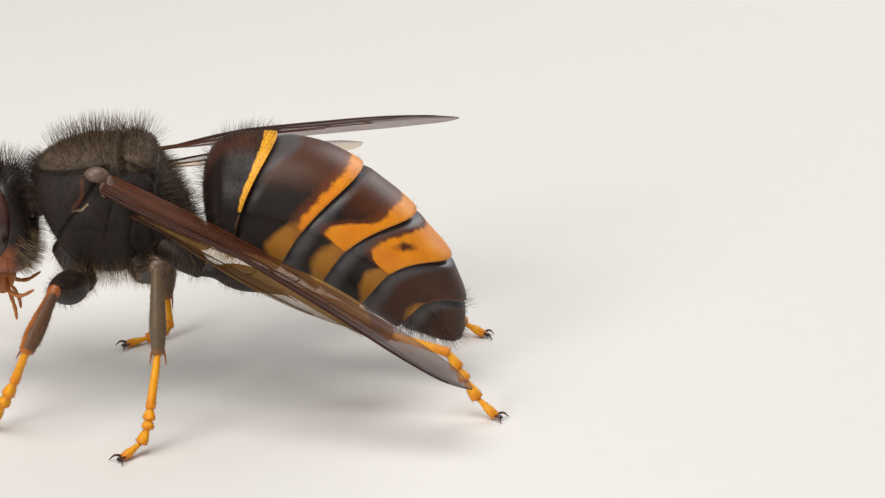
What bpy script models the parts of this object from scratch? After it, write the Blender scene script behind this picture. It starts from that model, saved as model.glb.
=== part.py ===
"""Yellow-legged hornet, a still life-size model standing on its six feet.

Sizes and places are in millimetres: X runs from head to tail, the hornet's left side faces -Y, and z = 0
is the floor. The last step scales every mesh to metres and sets the origin under the middle of the model.
"""

import math

import bmesh
import bpy
import numpy as np
from mathutils import Matrix, Vector

# Gap kept between neighbouring pieces, and the width kept clear on each side of a cut
GAP = 0.3
HALF_GAP = GAP / 2

# Thorax stations from front to rear: back line x, z, belly line x, z, half width
THORAX = [
    (-3.20, 10.05, -2.90, 8.75, 0.70),
    (-3.66, 10.95, -2.52, 8.05, 1.70),
    (-3.46, 11.52, -2.28, 7.50, 2.25),
    (-2.82, 12.04, -1.88, 6.80, 2.68),
    (-1.85, 12.50, -1.30, 6.28, 2.92),
    (-0.85, 12.76, -0.50, 6.02, 3.00),
    (0.25, 12.82, 0.40, 5.95, 3.00),
    (1.30, 12.82, 1.25, 6.22, 2.88),
    (2.15, 12.50, 2.05, 6.82, 2.66),
    (2.85, 11.50, 2.85, 7.10, 2.36),
    (3.45, 10.40, 3.45, 7.08, 1.98),
    (3.98, 9.30, 3.90, 7.08, 1.45),
    (4.24, 8.35, 4.14, 7.25, 0.65),
]
THORAX_SIDES = 28
THORAX_ROUNDNESS = 2.2
THORAX_STEP = 0.75
# The scutum's lower edge and the pronotum's rear edge, seen from the side
SCUTUM_FRONT = (-4.4, 11.28)
SHOULDER = (0.25, 11.93)
PRONOTUM_FOOT = (-3.1, 7.3)
PROPODEUM_X = 2.42

# Gaster stations from the waist to the tip, in the thorax's form, and how far the ring's sides bow forward
GASTER = [
    (5.28, 7.72, 5.32, 7.06, 0.42, 0.0),
    (4.86, 9.10, 5.48, 6.98, 1.45, 0.0),
    (4.76, 10.70, 5.62, 6.96, 2.10, 0.0),
    (5.02, 11.82, 5.76, 6.98, 2.50, 0.0),
    (5.55, 12.45, 5.88, 7.00, 2.72, 0.0),
    (6.35, 12.78, 6.02, 7.02, 2.88, 0.1),
    (8.35, 12.80, 6.40, 7.04, 3.08, 0.3),
    (10.60, 12.38, 7.45, 6.80, 3.22, 0.5),
    (12.55, 11.30, 8.57, 6.45, 3.28, 0.65),
    (14.02, 10.15, 9.65, 5.95, 3.20, 0.8),
    (15.20, 8.95, 10.70, 5.35, 3.05, 1.0),
    (16.15, 7.75, 11.80, 4.85, 2.82, 1.2),
    (16.95, 6.60, 12.90, 4.35, 2.52, 1.4),
    (17.45, 5.40, 13.90, 3.72, 2.10, 1.3),
    (17.70, 4.30, 14.75, 3.10, 1.70, 1.1),
    (17.72, 3.20, 15.90, 2.50, 1.05, 0.6),
    (17.60, 2.35, 17.10, 1.95, 0.32, 0.1),
]
GASTER_SIDES = 24
GASTER_ROUNDNESS = 2.05
GASTER_EDGES = [0, 6, 8, 10, 12, 14, 16]
GASTER_LAP = 0.07
# Half the width of a cutter that spans the whole body
CUTTER_HALF_WIDTH = 8.0

# Head: middle of its widest ring, and how far it reaches from there
HEAD = (-5.05, 0.0, 8.50)
HEAD_HALF_WIDTH = 2.62
HEAD_UP = 2.62
HEAD_DOWN = 2.72
HEAD_FRONT = 2.15
HEAD_REAR = 1.75
HEAD_SLOPE = 0.45
NECK_DENT = 1.55
# The clypeus plate on the lower face: height of its middle, half width, half height, how far it stands out
CLYPEUS = (7.05, 1.25, 1.35, 0.34)
EYE = (-5.85, 1.86, 9.00)
EYE_HALF = (1.42, 0.86, 2.02)
EYE_TURN = math.radians(30)
EYE_LEAN = math.radians(11)
EYE_NOTCH = 0.32

# Mouth and feelers, right side
MANDIBLE = [(-5.95, 1.42, 6.35), (-6.15, 1.42, 5.45), (-6.45, 1.10, 4.60), (-6.55, 0.62, 4.00)]
MANDIBLE_RADII = [0.62, 0.66, 0.52, 0.22]
LABIUM = [(-5.35, 0.0, 6.3), (-5.45, 0.0, 5.3), (-5.55, 0.0, 4.75)]
LABIUM_RADII = [0.75, 0.62, 0.34]
PALPS = [
    [(-5.25, 0.35, 5.6), (-4.95, 0.95, 4.95), (-4.40, 1.15, 4.85), (-3.75, 1.30, 5.20)],
    [(-5.35, 0.25, 5.2), (-5.00, 0.55, 4.55), (-4.80, 0.75, 3.95), (-4.75, 0.80, 3.45)],
]
PALP_RADIUS = 0.25
SCAPE = [(-6.75, 0.62, 9.05), (-7.45, 1.05, 9.55), (-8.35, 1.80, 10.30)]
SCAPE_RADII = [0.26, 0.27, 0.31]
FLAGELLUM = [(-8.35, 1.80, 10.30), (-9.45, 2.60, 10.55), (-10.70, 3.55, 9.95), (-11.55, 4.35, 8.75),
             (-12.00, 4.95, 7.35)]
FLAGELLUM_RADII = [0.26, 0.30, 0.31, 0.30, 0.18]
NECK = [(-5.05, 0.0, 9.25), (-3.15, 0.0, 9.45)]
NECK_RADIUS = 0.78
PETIOLE = [(3.90, 0.0, 7.72), (5.60, 0.0, 7.42)]
PETIOLE_RADIUS = 0.42
TEGULA = ((-0.18, 2.72, 11.72), (0.62, 0.50, 0.42))

# Legs by side and pair: base and end of the coxa, knee, end of the tibia, then the joints of the tarsus
LEGS = {
    "front_left": [(-1.90, -1.15, 7.5), (-1.05, -1.90, 5.80), (-2.10, -6.0, 6.90), (-3.35, -7.3, 4.40),
                   (-4.05, -7.2, 2.70), (-4.65, -7.0, 1.50), (-5.15, -6.8, 0.72), (-6.15, -6.6, 0.20)],
    "middle_left": [(1.35, -1.20, 7.4), (1.80, -1.95, 6.20), (3.00, -6.9, 8.50), (3.03, -8.2, 4.66),
                    (2.68, -9.2, 2.20), (2.55, -9.5, 1.30), (2.25, -9.7, 0.62), (1.45, -10.5, 0.20)],
    "hind_left": [(3.05, -1.25, 7.7), (4.65, -2.05, 6.65), (9.10, -3.9, 6.25), (13.90, -3.9, 3.90),
                  (16.90, -4.5, 3.13), (17.70, -4.8, 1.85), (18.30, -5.1, 1.00), (19.20, -5.5, 0.20)],
    "front_right": [(-1.90, 1.15, 7.5), (-1.10, 1.90, 5.80), (-3.90, 5.5, 8.00), (-7.20, 7.3, 6.10),
                    (-8.90, 7.5, 3.60), (-9.60, 7.55, 2.10), (-10.10, 7.6, 1.00), (-11.10, 7.7, 0.20)],
    "middle_right": [(1.35, 1.20, 7.4), (1.80, 1.95, 6.20), (2.50, 7.0, 5.70), (2.15, 6.0, 2.10),
                     (2.30, 5.3, 0.62), (1.75, 4.9, 0.34), (1.25, 4.6, 0.30), (0.25, 4.0, 0.20)],
    "hind_right": [(3.05, 1.25, 7.7), (4.65, 2.05, 6.65), (9.60, 6.0, 7.55), (13.80, 6.5, 4.60),
                   (16.30, 5.8, 2.70), (17.10, 5.6, 1.60), (17.70, 5.5, 0.80), (18.75, 5.4, 0.20)],
}
# Radii by pair: coxa, femur from trochanter to knee, tibia, tarsus
LEG_RADII = {
    "front": ((0.90, 0.78, 0.58), (0.48, 0.86, 0.78, 0.42), (0.34, 0.50, 0.56, 0.50), 0.34),
    "middle": ((0.85, 0.72, 0.50), (0.40, 0.62, 0.56, 0.38), (0.34, 0.42, 0.44, 0.42), 0.30),
    "hind": ((0.95, 0.85, 0.55), (0.42, 0.64, 0.52, 0.36), (0.36, 0.52, 0.64, 0.60), 0.33),
}
SPURS = {"front": 1, "middle": 2, "hind": 2}
SPUR_LENGTH = 1.15
SPUR_RADIUS = 0.22
# How far back from the ankle a spur is rooted, and how far out its tip leans from the shin
SPUR_ROOT = 0.35
SPUR_SPREAD = 0.42
CLAW_LENGTH = 0.62
CLAW_RADIUS = 0.20
# Across the toe from its middle: the claws' roots, bends and tips
CLAW_SPREAD = (0.10, 0.34, 0.52)
TARSUS_WAIST = 0.76
TIP_RADIUS = 0.05
LIMB_SIDES = 10
TARSUS_SIDES = 8

# Chord stations: place along the wing, outer edge and inner edge
FOREWING = [(0.0, 0.40, -0.40), (0.08, 0.58, -0.62), (0.20, 0.88, -0.85), (0.40, 1.00, -0.92),
            (0.62, 1.15, -0.98), (0.80, 1.25, -0.98), (0.92, 0.98, -0.82), (1.0, 0.34, -0.46)]
HINDWING = [(0.0, 0.26, -0.24), (0.12, 0.40, -0.36), (0.30, 0.92, -0.72), (0.50, 1.30, -1.30),
            (0.72, 1.30, -1.45), (0.88, 1.00, -1.15), (0.96, 0.68, -0.80), (1.0, 0.30, -0.42)]
# Wings: form, length, root, sweep and droop at the root, tip's further drop, and the outer edge's tilt at the tip
WINGS = {
    "forewing_left": (FOREWING, 20.2, (0.35, -2.95, 11.67), -19.75, 21.8, 1.0, 4.0),
    "forewing_right": (FOREWING, 20.2, (0.35, 2.35, 11.40), 32.0, 4.0, 0.3, 4.0),
    "hindwing_left": (HINDWING, 12.9, (1.45, -2.90, 9.72), -16.2, 19.8, 0.0, 22.0),
    "hindwing_right": (HINDWING, 12.9, (1.45, 2.20, 10.42), 32.0, 3.7, 0.0, 4.0),
}
WING_THICKNESS = 0.5
WING_EDGE_SHARE = 0.45
VEIN_HEIGHT = 0.13
WING_ROWS = 20
# Rows stand closer together from this place to the tip
WING_TIP_START = 0.7
# Place of each lengthwise vein across the chord, from the outer edge, and half its width
VEINS = [0.10, 0.36, 0.66]
VEIN_HALF_WIDTH = 0.045
CROSS_VEIN_ROWS = (8, 13, 17)

COLOURS = {
    "black": (0.018, 0.015, 0.016, 0.42, 0.0),
    "brown": (0.060, 0.022, 0.010, 0.40, 0.0),
    "red_brown": (0.140, 0.045, 0.018, 0.38, 0.0),
    "orange": (0.620, 0.230, 0.030, 0.42, 0.0),
    "yellow": (0.820, 0.480, 0.060, 0.40, 0.0),
    "eye": (0.070, 0.016, 0.012, 0.18, 0.0),
    "wing": (0.230, 0.090, 0.030, 0.25, 0.0),
}


# Each object's form from before its first cut or join
uncut_forms = {}


def along(points, place):
    """The point at a place on the smooth curve through the points, one unit of place for each point."""
    last = len(points) - 1
    start = min(int(place), last - 1)
    t = place - start
    here, there = np.array(points[start], float), np.array(points[start + 1], float)
    before = np.array(points[start - 1], float) if start > 0 else 2 * here - there
    after = np.array(points[start + 2], float) if start + 2 <= last else 2 * there - here
    return 0.5 * (2 * here + (there - before) * t
                  + (2 * before - 5 * here + 4 * there - after) * t ** 2
                  + (3 * here - before - 3 * there + after) * t ** 3)


def places(first, last, step):
    """Evenly spaced places from first to last, about one step apart."""
    return np.linspace(first, last, max(2, int(round((last - first) / step)) + 1))


def power_cosine(angle, roundness):
    """A cosine bent so that a ring swells from an ellipse towards a box."""
    value = math.cos(angle)
    return math.copysign(abs(value) ** (2 / roundness), value)


def loft(rings):
    """A closed mesh through rings of points, capped at both ends."""
    mesh = bmesh.new()
    loops = [[mesh.verts.new(tuple(point)) for point in ring] for ring in rings]
    for lower, upper in zip(loops, loops[1:]):
        for i in range(len(lower)):
            j = (i + 1) % len(lower)
            mesh.faces.new((lower[i], lower[j], upper[j], upper[i]))
    for loop in (loops[0], loops[-1]):
        centre = mesh.verts.new(sum((vert.co for vert in loop), Vector()) / len(loop))
        for i in range(len(loop)):
            mesh.faces.new((loop[i], loop[(i + 1) % len(loop)], centre))
    bmesh.ops.triangulate(mesh, faces=[face for face in mesh.faces if len(face.verts) > 3])
    bmesh.ops.recalc_face_normals(mesh, faces=mesh.faces)
    return mesh


def add_object(name, mesh):
    """An object made of a bmesh, which is then freed."""
    data = bpy.data.meshes.new(name)
    mesh.to_mesh(data)
    mesh.free()
    item = bpy.data.objects.new(name, data)
    bpy.context.scene.collection.objects.link(item)
    return item


def body_ring(stations, place, sides, roundness, grow=0.0):
    """One ring of a body that is given by its back line, belly line and half width."""
    back_x, back_z, belly_x, belly_z, half_width, *bow = along(stations, place)
    middle = np.array([(back_x + belly_x) / 2, 0.0, (back_z + belly_z) / 2])
    up = np.array([(back_x - belly_x) / 2, 0.0, (back_z - belly_z) / 2])
    height = np.linalg.norm(up)
    up = up / height
    forward = np.array([-up[2], 0.0, up[0]]) * (bow[0] if bow else 0.0)
    ring = []
    for i in range(sides):
        angle = 2 * math.pi * i / sides
        rise = (height + grow) * power_cosine(angle, roundness)
        side = (half_width + grow) * power_cosine(angle - math.pi / 2, roundness)
        ring.append(middle + up * rise + np.array([0.0, side, 0.0]) + forward * math.sin(angle) ** 2)
    return ring


def frames(points):
    """A pair of directions across the curve at each point, turning as little as they can."""
    points = [np.array(p, float) for p in points]
    runs = [points[min(i + 1, len(points) - 1)] - points[max(i - 1, 0)] for i in range(len(points))]
    runs = [run / np.linalg.norm(run) for run in runs]
    side = np.cross(runs[0], (0.0, 0.0, 1.0))
    if np.linalg.norm(side) < 0.2:
        side = np.cross(runs[0], (0.0, 1.0, 0.0))
    pairs = []
    for run in runs:
        side = side - run * np.dot(side, run)
        side = side / np.linalg.norm(side)
        pairs.append((side, np.cross(run, side)))
    return pairs


def tube(points, radii, steps=2, sides=LIMB_SIDES, round_start=True, round_end=True):
    """A round limb along a smooth curve, with a radius for each of its points and domed ends."""
    spots = np.linspace(0, len(points) - 1, (len(points) - 1) * steps + 1)
    line = [along(points, spot) for spot in spots]
    widths = [float(along([(r,) for r in radii], spot)[0]) for spot in spots]
    pairs = frames(line)
    rings = []

    def ring(centre, radius, pair):
        rings.append([centre + radius * (math.cos(a) * pair[0] + math.sin(a) * pair[1])
                      for a in np.linspace(0, 2 * math.pi, sides, endpoint=False)])

    start_run = np.array(line[0]) - np.array(line[1])
    start_run = start_run / np.linalg.norm(start_run)
    end_run = np.array(line[-1]) - np.array(line[-2])
    end_run = end_run / np.linalg.norm(end_run)
    if round_start:
        ring(line[0] + start_run * widths[0] * 0.62, widths[0] * 0.62, pairs[0])
    for centre, radius, pair in zip(line, widths, pairs):
        ring(centre, radius, pair)
    if round_end:
        ring(line[-1] + end_run * widths[-1] * 0.62, widths[-1] * 0.62, pairs[-1])
    return loft(rings)


def ellipsoid(centre, radii, turn=Matrix.Identity(3), segments=16, rings=10):
    """A closed ellipsoid."""
    mesh = bmesh.new()
    bmesh.ops.create_uvsphere(mesh, u_segments=segments, v_segments=rings, radius=1.0)
    for vert in mesh.verts:
        local = Vector([vert.co[k] * radii[k] for k in range(3)])
        vert.co = turn @ local + Vector(centre)
    bmesh.ops.triangulate(mesh, faces=mesh.faces)
    bmesh.ops.recalc_face_normals(mesh, faces=mesh.faces)
    return mesh


def grown(item, amount):
    """A copy of an object's form from before its cuts, whose surface stands off by an amount all over."""
    mesh = bmesh.new()
    mesh.from_mesh(uncut_forms.get(item.name, item.data))
    bmesh.ops.remove_doubles(mesh, verts=mesh.verts, dist=0.0001)
    mesh.normal_update()
    moves = [(vert, vert.normal * amount * min(vert.calc_shell_factor(), 1.6)) for vert in mesh.verts]
    for vert, move in moves:
        vert.co += move
    return add_object(item.name + ".grown", mesh)


def is_closed(data):
    """Whether every edge of a mesh joins two faces."""
    mesh = bmesh.new()
    mesh.from_mesh(data)
    closed = all(edge.is_manifold for edge in mesh.edges)
    mesh.free()
    return closed


def apply_boolean(item, operation, other=None, collection=None):
    """Runs one Boolean on an object and applies it, with the other solver where the first leaves it open."""
    before = item.data.copy()
    for solver in ("EXACT", "MANIFOLD"):
        item.data = before.copy()
        step = item.modifiers.new("cut", "BOOLEAN")
        step.operation = operation
        step.solver = solver
        if collection:
            step.operand_type = "COLLECTION"
            step.collection = collection
        else:
            step.object = other
        bpy.context.view_layer.objects.active = item
        bpy.ops.object.modifier_apply(modifier=step.name)
        keep_largest(item)
        if is_closed(item.data):
            break
    bpy.data.meshes.remove(before)


def islands(mesh):
    """The separate surfaces of a bmesh."""
    left = set(mesh.verts)
    groups = []
    while left:
        stack = [left.pop()]
        group = set(stack)
        while stack:
            for edge in stack.pop().link_edges:
                for vert in edge.verts:
                    if vert in left:
                        left.remove(vert)
                        group.add(vert)
                        stack.append(vert)
        groups.append(group)
    return groups


def signed_volume(group):
    """The volume inside one closed surface of triangles."""
    faces = {face for vert in group for face in vert.link_faces}
    return sum(f.verts[0].co.dot(f.verts[1].co.cross(f.verts[2].co)) for f in faces) / 6


def keep_largest(item):
    """Merges an object's loose corners and keeps its largest closed surface."""
    mesh = bmesh.new()
    mesh.from_mesh(item.data)
    bmesh.ops.remove_doubles(mesh, verts=mesh.verts, dist=0.002)
    bmesh.ops.dissolve_degenerate(mesh, dist=0.002, edges=mesh.edges)
    bmesh.ops.triangulate(mesh, faces=mesh.faces)
    groups = islands(mesh)
    best = max(groups, key=signed_volume)
    scrap = [vert for group in groups if group is not best for vert in group]
    bmesh.ops.delete(mesh, geom=scrap, context="VERTS")
    mesh.to_mesh(item.data)
    mesh.free()


def keep_form(item):
    """Keeps an object's form from before its first cut or join, for its neighbours' cutters."""
    if item.name not in uncut_forms:
        uncut_forms[item.name] = item.data.copy()


def cut_clear(item, *neighbours, amount=GAP):
    """Cuts an object back so that it stands off from its neighbours by the gap."""
    keep_form(item)
    for neighbour in neighbours:
        cutter = grown(neighbour, amount)
        apply_boolean(item, "DIFFERENCE", other=cutter)
        bpy.data.objects.remove(cutter, do_unlink=True)


def unite(item, others):
    """Joins other closed objects to an object and removes them."""
    keep_form(item)
    group = bpy.data.collections.new(item.name + ".parts")
    for other in others:
        group.objects.link(other)
    apply_boolean(item, "UNION", collection=group)
    for other in others:
        bpy.data.objects.remove(other, do_unlink=True)
    bpy.data.collections.remove(group)
    return item


def prism(name, outline):
    """A cutter with an outline in the side view, wider than the whole body."""
    return add_object(name, loft([[(x, side * CUTTER_HALF_WIDTH, z) for x, z in outline] for side in (-1, 1)]))


def mirrored(points, side):
    """Points given for the right side, taken to the side asked for."""
    return [(p[0], p[1] * side, p[2]) for p in points]


def shifted_line(start, end, offset):
    """A line of the side view moved to its left by an offset: a point on it and its direction."""
    run = np.array(end, float) - np.array(start, float)
    across = np.array([-run[1], run[0]]) / np.linalg.norm(run) * offset
    return np.array(start) + across, run


def crossing(first, second):
    """Where two lines of the side view cross."""
    turns = np.linalg.solve(np.array([first[1], -second[1]]).T, second[0] - first[0])
    return first[0] + first[1] * turns[0]


def thorax_block(name):
    spots = places(0, len(THORAX) - 1, THORAX_STEP)
    return add_object(name, loft([body_ring(THORAX, spot, THORAX_SIDES, THORAX_ROUNDNESS)
                                  for spot in spots]))


def build_thorax():
    """The three pieces of the thorax, cut from one block along the seams seen from the side."""
    whole = thorax_block("thorax")
    front, rear = thorax_block("pronotum"), thorax_block("propodeum")
    middle = thorax_block("mesothorax")
    for item, offset in ((front, -HALF_GAP), (middle, HALF_GAP)):
        top = shifted_line(SCUTUM_FRONT, SHOULDER, offset)
        back = shifted_line(SHOULDER, PRONOTUM_FOOT, offset)
        wedge = prism("wedge", [top[0] - top[1], crossing(top, back), back[0] + back[1] * 2.5,
                                (top[0][0] - top[1][0], 0.0)])
        apply_boolean(item, "INTERSECT" if item is front else "DIFFERENCE", other=wedge)
        bpy.data.objects.remove(wedge, do_unlink=True)
    for item, sign in ((middle, -1), (rear, 1)):
        edge = PROPODEUM_X + sign * HALF_GAP
        far = edge + sign * 20
        slab = prism("slab", [(edge, 0.0), (edge, 20.0), (far, 20.0), (far, 0.0)])
        apply_boolean(item, "INTERSECT", other=slab)
        bpy.data.objects.remove(slab, do_unlink=True)
    return whole, front, middle, rear


def gaster_inset(edge, direction):
    """How far in stations half a gap is, next to a segment's edge, between its back and its sides."""
    here, there = along(GASTER, edge), along(GASTER, edge + 0.5 * direction)
    back = np.linalg.norm((here - there)[:2])
    belly = np.linalg.norm((here - there)[2:4])
    return HALF_GAP * 0.5 / (0.6 * back + 0.4 * belly)


def build_gaster():
    """Six segments, each a little wider at its rear edge than the next one's front."""
    made = []
    for number, (first, last) in enumerate(zip(GASTER_EDGES, GASTER_EDGES[1:]), 1):
        start = first if number == 1 else first + gaster_inset(first, 1)
        end = last if number == 6 else last - gaster_inset(last, -1)
        spots = places(start, end, 0.75 if number == 1 else (end - start) / 4)
        rings = [body_ring(GASTER, spot, GASTER_SIDES, GASTER_ROUNDNESS,
                           GASTER_LAP * (2 * (spot - start) / (end - start) - 1)) for spot in spots]
        made.append(add_object(f"gaster_{number}", loft(rings)))
    return made


def head_surface():
    """The head's closed skin, dented behind where the neck meets it."""
    sides, rows = 28, 16
    mesh_rings = []
    for row in range(1, rows):
        polar = math.pi * row / rows
        reach = math.sin(polar)
        if polar <= math.pi / 2:
            x = -HEAD_FRONT * max(0.0, 1 - reach ** 2.3) ** (1 / 2.3)
        else:
            x = HEAD_REAR * math.sqrt(max(0.0, 1 - reach ** 2.4)) - NECK_DENT * math.exp(-(reach / 0.38) ** 2)
        slope = HEAD_SLOPE * reach if polar > math.pi / 2 else 0.0
        ring = []
        for i in range(sides):
            angle = 2 * math.pi * i / sides
            rise = power_cosine(angle, 2.2)
            side = power_cosine(angle - math.pi / 2, 2.2)
            half = HEAD_HALF_WIDTH * (1 - 0.16 * max(0.0, -rise) ** 1.5)
            tall = HEAD_UP if rise > 0 else HEAD_DOWN
            y, z = half * side * reach, HEAD[2] + tall * rise * reach
            swell = CLYPEUS[3] * math.exp(-(y / CLYPEUS[1]) ** 4 - ((z - CLYPEUS[0]) / CLYPEUS[2]) ** 4)
            back = x * (1 - slope * max(0.0, rise))
            ring.append((HEAD[0] + back - (swell if polar < math.pi / 2 else 0.0), y, z))
        mesh_rings.append(ring)
    return loft(mesh_rings)


def eye_surface(side, grow=0.0):
    """A kidney-shaped eye, notched in front at the height of the feelers."""
    turn = Matrix.Rotation(side * EYE_LEAN, 3, "X") @ Matrix.Rotation(side * EYE_TURN, 3, "Z")
    mesh = bmesh.new()
    bmesh.ops.create_uvsphere(mesh, u_segments=18, v_segments=14, radius=1.0)
    for vert in mesh.verts:
        x, y, z = vert.co
        notch = EYE_NOTCH * max(0.0, -x) * math.exp(-((z - 0.1) / 0.38) ** 2)
        local = Vector(((x + notch) * (EYE_HALF[0] + grow), y * (EYE_HALF[1] + grow),
                        z * (EYE_HALF[2] + grow)))
        vert.co = turn @ local + Vector((EYE[0], EYE[1] * side, EYE[2]))
    bmesh.ops.triangulate(mesh, faces=mesh.faces)
    bmesh.ops.recalc_face_normals(mesh, faces=mesh.faces)
    return mesh


def build_head(thorax):
    head = add_object("head", head_surface())
    cut_clear(head, thorax)
    made = [head]
    for side, word in ((-1, "left"), (1, "right")):
        eye = add_object(f"eye_{word}", eye_surface(side))
        cut_clear(head, eye)
        made.append(eye)
    for side, word in ((-1, "left"), (1, "right")):
        jaw = add_object(f"mandible_{word}", tube(mirrored(MANDIBLE, side), MANDIBLE_RADII))
        cut_clear(jaw, head)
        scape = add_object(f"antenna_{word}_scape", tube(mirrored(SCAPE, side), SCAPE_RADII))
        cut_clear(scape, head)
        whip = add_object(f"antenna_{word}_flagellum", tube(mirrored(FLAGELLUM, side), FLAGELLUM_RADII, 3))
        cut_clear(whip, scape)
        made += [jaw, scape, whip]
    return made


def build_mouth(head, jaws):
    """The lower lip with its two pairs of palps."""
    lip = add_object("mouthparts", tube(LABIUM, LABIUM_RADII))
    palps = [add_object("palp", tube(mirrored(line, side), [PALP_RADIUS] * 3 + [PALP_RADIUS * 0.8]))
             for line in PALPS for side in (-1, 1)]
    unite(lip, palps)
    cut_clear(lip, head, *jaws)
    return lip


def limb_radii(name):
    return LEG_RADII[name.split("_")[0]]


def build_tibia(name, knee, ankle, radii):
    """A shin with its spurs."""
    knee, ankle = np.array(knee), np.array(ankle)
    points = [knee + (ankle - knee) * t for t in (0.0, 0.35, 0.75, 1.0)]
    shin = add_object(f"tibia_{name}", tube(points, radii, round_end=False))
    run = (ankle - knee) / np.linalg.norm(ankle - knee)
    pair = frames([knee, ankle])[0]
    spurs = []
    for number in range(SPURS[name.split("_")[0]]):
        lean = pair[0] * (0.75 if number == 0 else -0.75)
        root = ankle - run * SPUR_ROOT + lean * radii[3] * 0.55
        tip = ankle + run * (SPUR_LENGTH - SPUR_ROOT) + lean * (radii[3] + SPUR_SPREAD)
        spurs.append(add_object("spur", tube([root, (root + tip) / 2, tip],
                                             [SPUR_RADIUS, SPUR_RADIUS * 0.7, TIP_RADIUS], 1, 6)))
    return unite(shin, spurs)


def tarsus_line(joints):
    """Points and radius factors along a tarsus, narrow at each joint and swollen before the next."""
    points, factors = [], []
    for number, (start, end) in enumerate(zip(joints, joints[1:])):
        start, end = np.array(start), np.array(end)
        for t, factor in ((0.0, TARSUS_WAIST), (0.30, 0.90), (0.86, 1.06 + 0.04 * number)):
            points.append(start + (end - start) * t)
            factors.append(factor)
    points.append(np.array(joints[-1]))
    factors.append(0.80)
    return points, factors


def build_tarsus(name, joints, radius):
    """The foot's five joints and its two claws, flat where they stand on the floor."""
    points, factors = tarsus_line(joints)
    foot = add_object(f"tarsus_{name}", tube(points, [radius * f for f in factors], 1, TARSUS_SIDES))
    heel, toe = np.array(joints[-2]), np.array(joints[-1])
    run = toe - heel
    run[2] = 0.0
    run = run / np.linalg.norm(run)
    across = np.array([-run[1], run[0], 0.0])
    claws = []
    for sign in (-1, 1):
        at_root, at_bend, at_tip = [across * sign * spread for spread in CLAW_SPREAD]
        root = toe - run * 0.10 + at_root
        bend = toe + run * CLAW_LENGTH * 0.55 + at_bend + np.array([0.0, 0.0, 0.10])
        tip = toe + run * CLAW_LENGTH + at_tip + np.array([0.0, 0.0, -0.08])
        claws.append(add_object("claw", tube([root, bend, tip], [CLAW_RADIUS, CLAW_RADIUS * 0.7, TIP_RADIUS],
                                             2, 6)))
    unite(foot, claws)
    for vert in foot.data.vertices:
        vert.co.z = max(vert.co.z, 0.0)
    keep_largest(foot)
    return foot


def build_leg(name, points, thorax):
    hip, socket, knee, ankle, *rest = points
    coxa_radii, femur_radii, tibia_radii, foot_radius = limb_radii(name)
    middle = tuple((np.array(hip) + np.array(socket)) / 2)
    coxa = add_object(f"coxa_{name}", tube([hip, middle, socket], coxa_radii))
    cut_clear(coxa, *thorax)
    start, end = np.array(socket), np.array(knee)
    thigh = [start + (end - start) * t for t in (0.0, 0.35, 0.70, 1.0)]
    femur = add_object(f"femur_{name}", tube(thigh, femur_radii))
    cut_clear(femur, coxa, *thorax)
    tibia = build_tibia(name, knee, ankle, tibia_radii)
    cut_clear(tibia, femur)
    tarsus = build_tarsus(name, [ankle] + rest, foot_radius)
    cut_clear(tarsus, tibia)
    return [coxa, femur, tibia, tarsus]


def wing_frame(sweep, droop):
    """Directions along a wing, across it towards its outer edge, and up from it."""
    angle, fall = math.radians(sweep), math.radians(droop)
    run = np.array([math.cos(fall) * math.cos(angle), math.cos(fall) * math.sin(angle), -math.sin(fall)])
    side = 1 if sweep > 0 else -1
    outer = np.array([-math.sin(angle) * side, math.cos(angle) * side, 0.0])
    up = np.cross(run, outer) * side
    return run, outer, up


def wing_columns():
    """Places across the chord: edges, veins and the dips beside them."""
    places_across = [0.0]
    for vein in VEINS:
        places_across += [vein - VEIN_HALF_WIDTH, vein, vein + VEIN_HALF_WIDTH]
    return places_across + [0.84, 1.0]


def build_wing(name, outline, length, root, sweep, droop, drop, tilt):
    """A thin wing with its veins raised in its own upper surface."""
    run, flat_outer, flat_up = wing_frame(sweep, droop)
    columns = wing_columns()
    stations = [s[0] for s in outline]
    upper, lower = [], []
    for row in range(WING_ROWS + 1):
        t = row / WING_ROWS
        if t > WING_TIP_START:
            tip = 1 - WING_TIP_START
            t = WING_TIP_START + tip * math.sin(math.pi / 2 * (t - WING_TIP_START) / tip)
        lean = math.radians(tilt) * t
        outer = flat_outer * math.cos(lean) - flat_up * math.sin(lean)
        up = flat_up * math.cos(lean) + flat_outer * math.sin(lean)
        axis = np.array(root) + run * length * t - np.array([0.0, 0.0, drop]) * t ** 3
        place = np.interp(t, stations, range(len(stations)))
        edge_out, edge_in = along([s[1:] for s in outline], place)
        top_row, bottom_row = [], []
        for column, across in enumerate(columns):
            spot = axis + outer * (edge_out + (edge_in - edge_out) * across)
            raised = across in VEINS or (row in CROSS_VEIN_ROWS and 0.1 < across < 0.9)
            edge = column in (0, len(columns) - 1)
            half = WING_THICKNESS / 2 * (WING_EDGE_SHARE if edge or row == WING_ROWS else 1.0)
            lift = VEIN_HEIGHT if raised and row < WING_ROWS else 0.0
            top_row.append(spot + up * (half + lift))
            bottom_row.append(spot - up * half)
        upper.append(top_row)
        lower.append(bottom_row)
    mesh = bmesh.new()
    tops = [[mesh.verts.new(tuple(p)) for p in row] for row in upper]
    bottoms = [[mesh.verts.new(tuple(p)) for p in row] for row in lower]
    rows, count = len(tops), len(columns)
    for r in range(rows - 1):
        for c in range(count - 1):
            for sheet in (tops, bottoms):
                a, b, d, e = sheet[r][c], sheet[r][c + 1], sheet[r + 1][c + 1], sheet[r + 1][c]
                mesh.faces.new((a, b, d))
                mesh.faces.new((a, d, e))
    for r in range(rows - 1):
        for c in (0, count - 1):
            mesh.faces.new((tops[r][c], tops[r + 1][c], bottoms[r + 1][c], bottoms[r][c]))
    for c in range(count - 1):
        for r in (0, rows - 1):
            mesh.faces.new((tops[r][c], tops[r][c + 1], bottoms[r][c + 1], bottoms[r][c]))
    bmesh.ops.triangulate(mesh, faces=[f for f in mesh.faces if len(f.verts) > 3])
    bmesh.ops.recalc_face_normals(mesh, faces=mesh.faces)
    return add_object(name, mesh)


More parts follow.
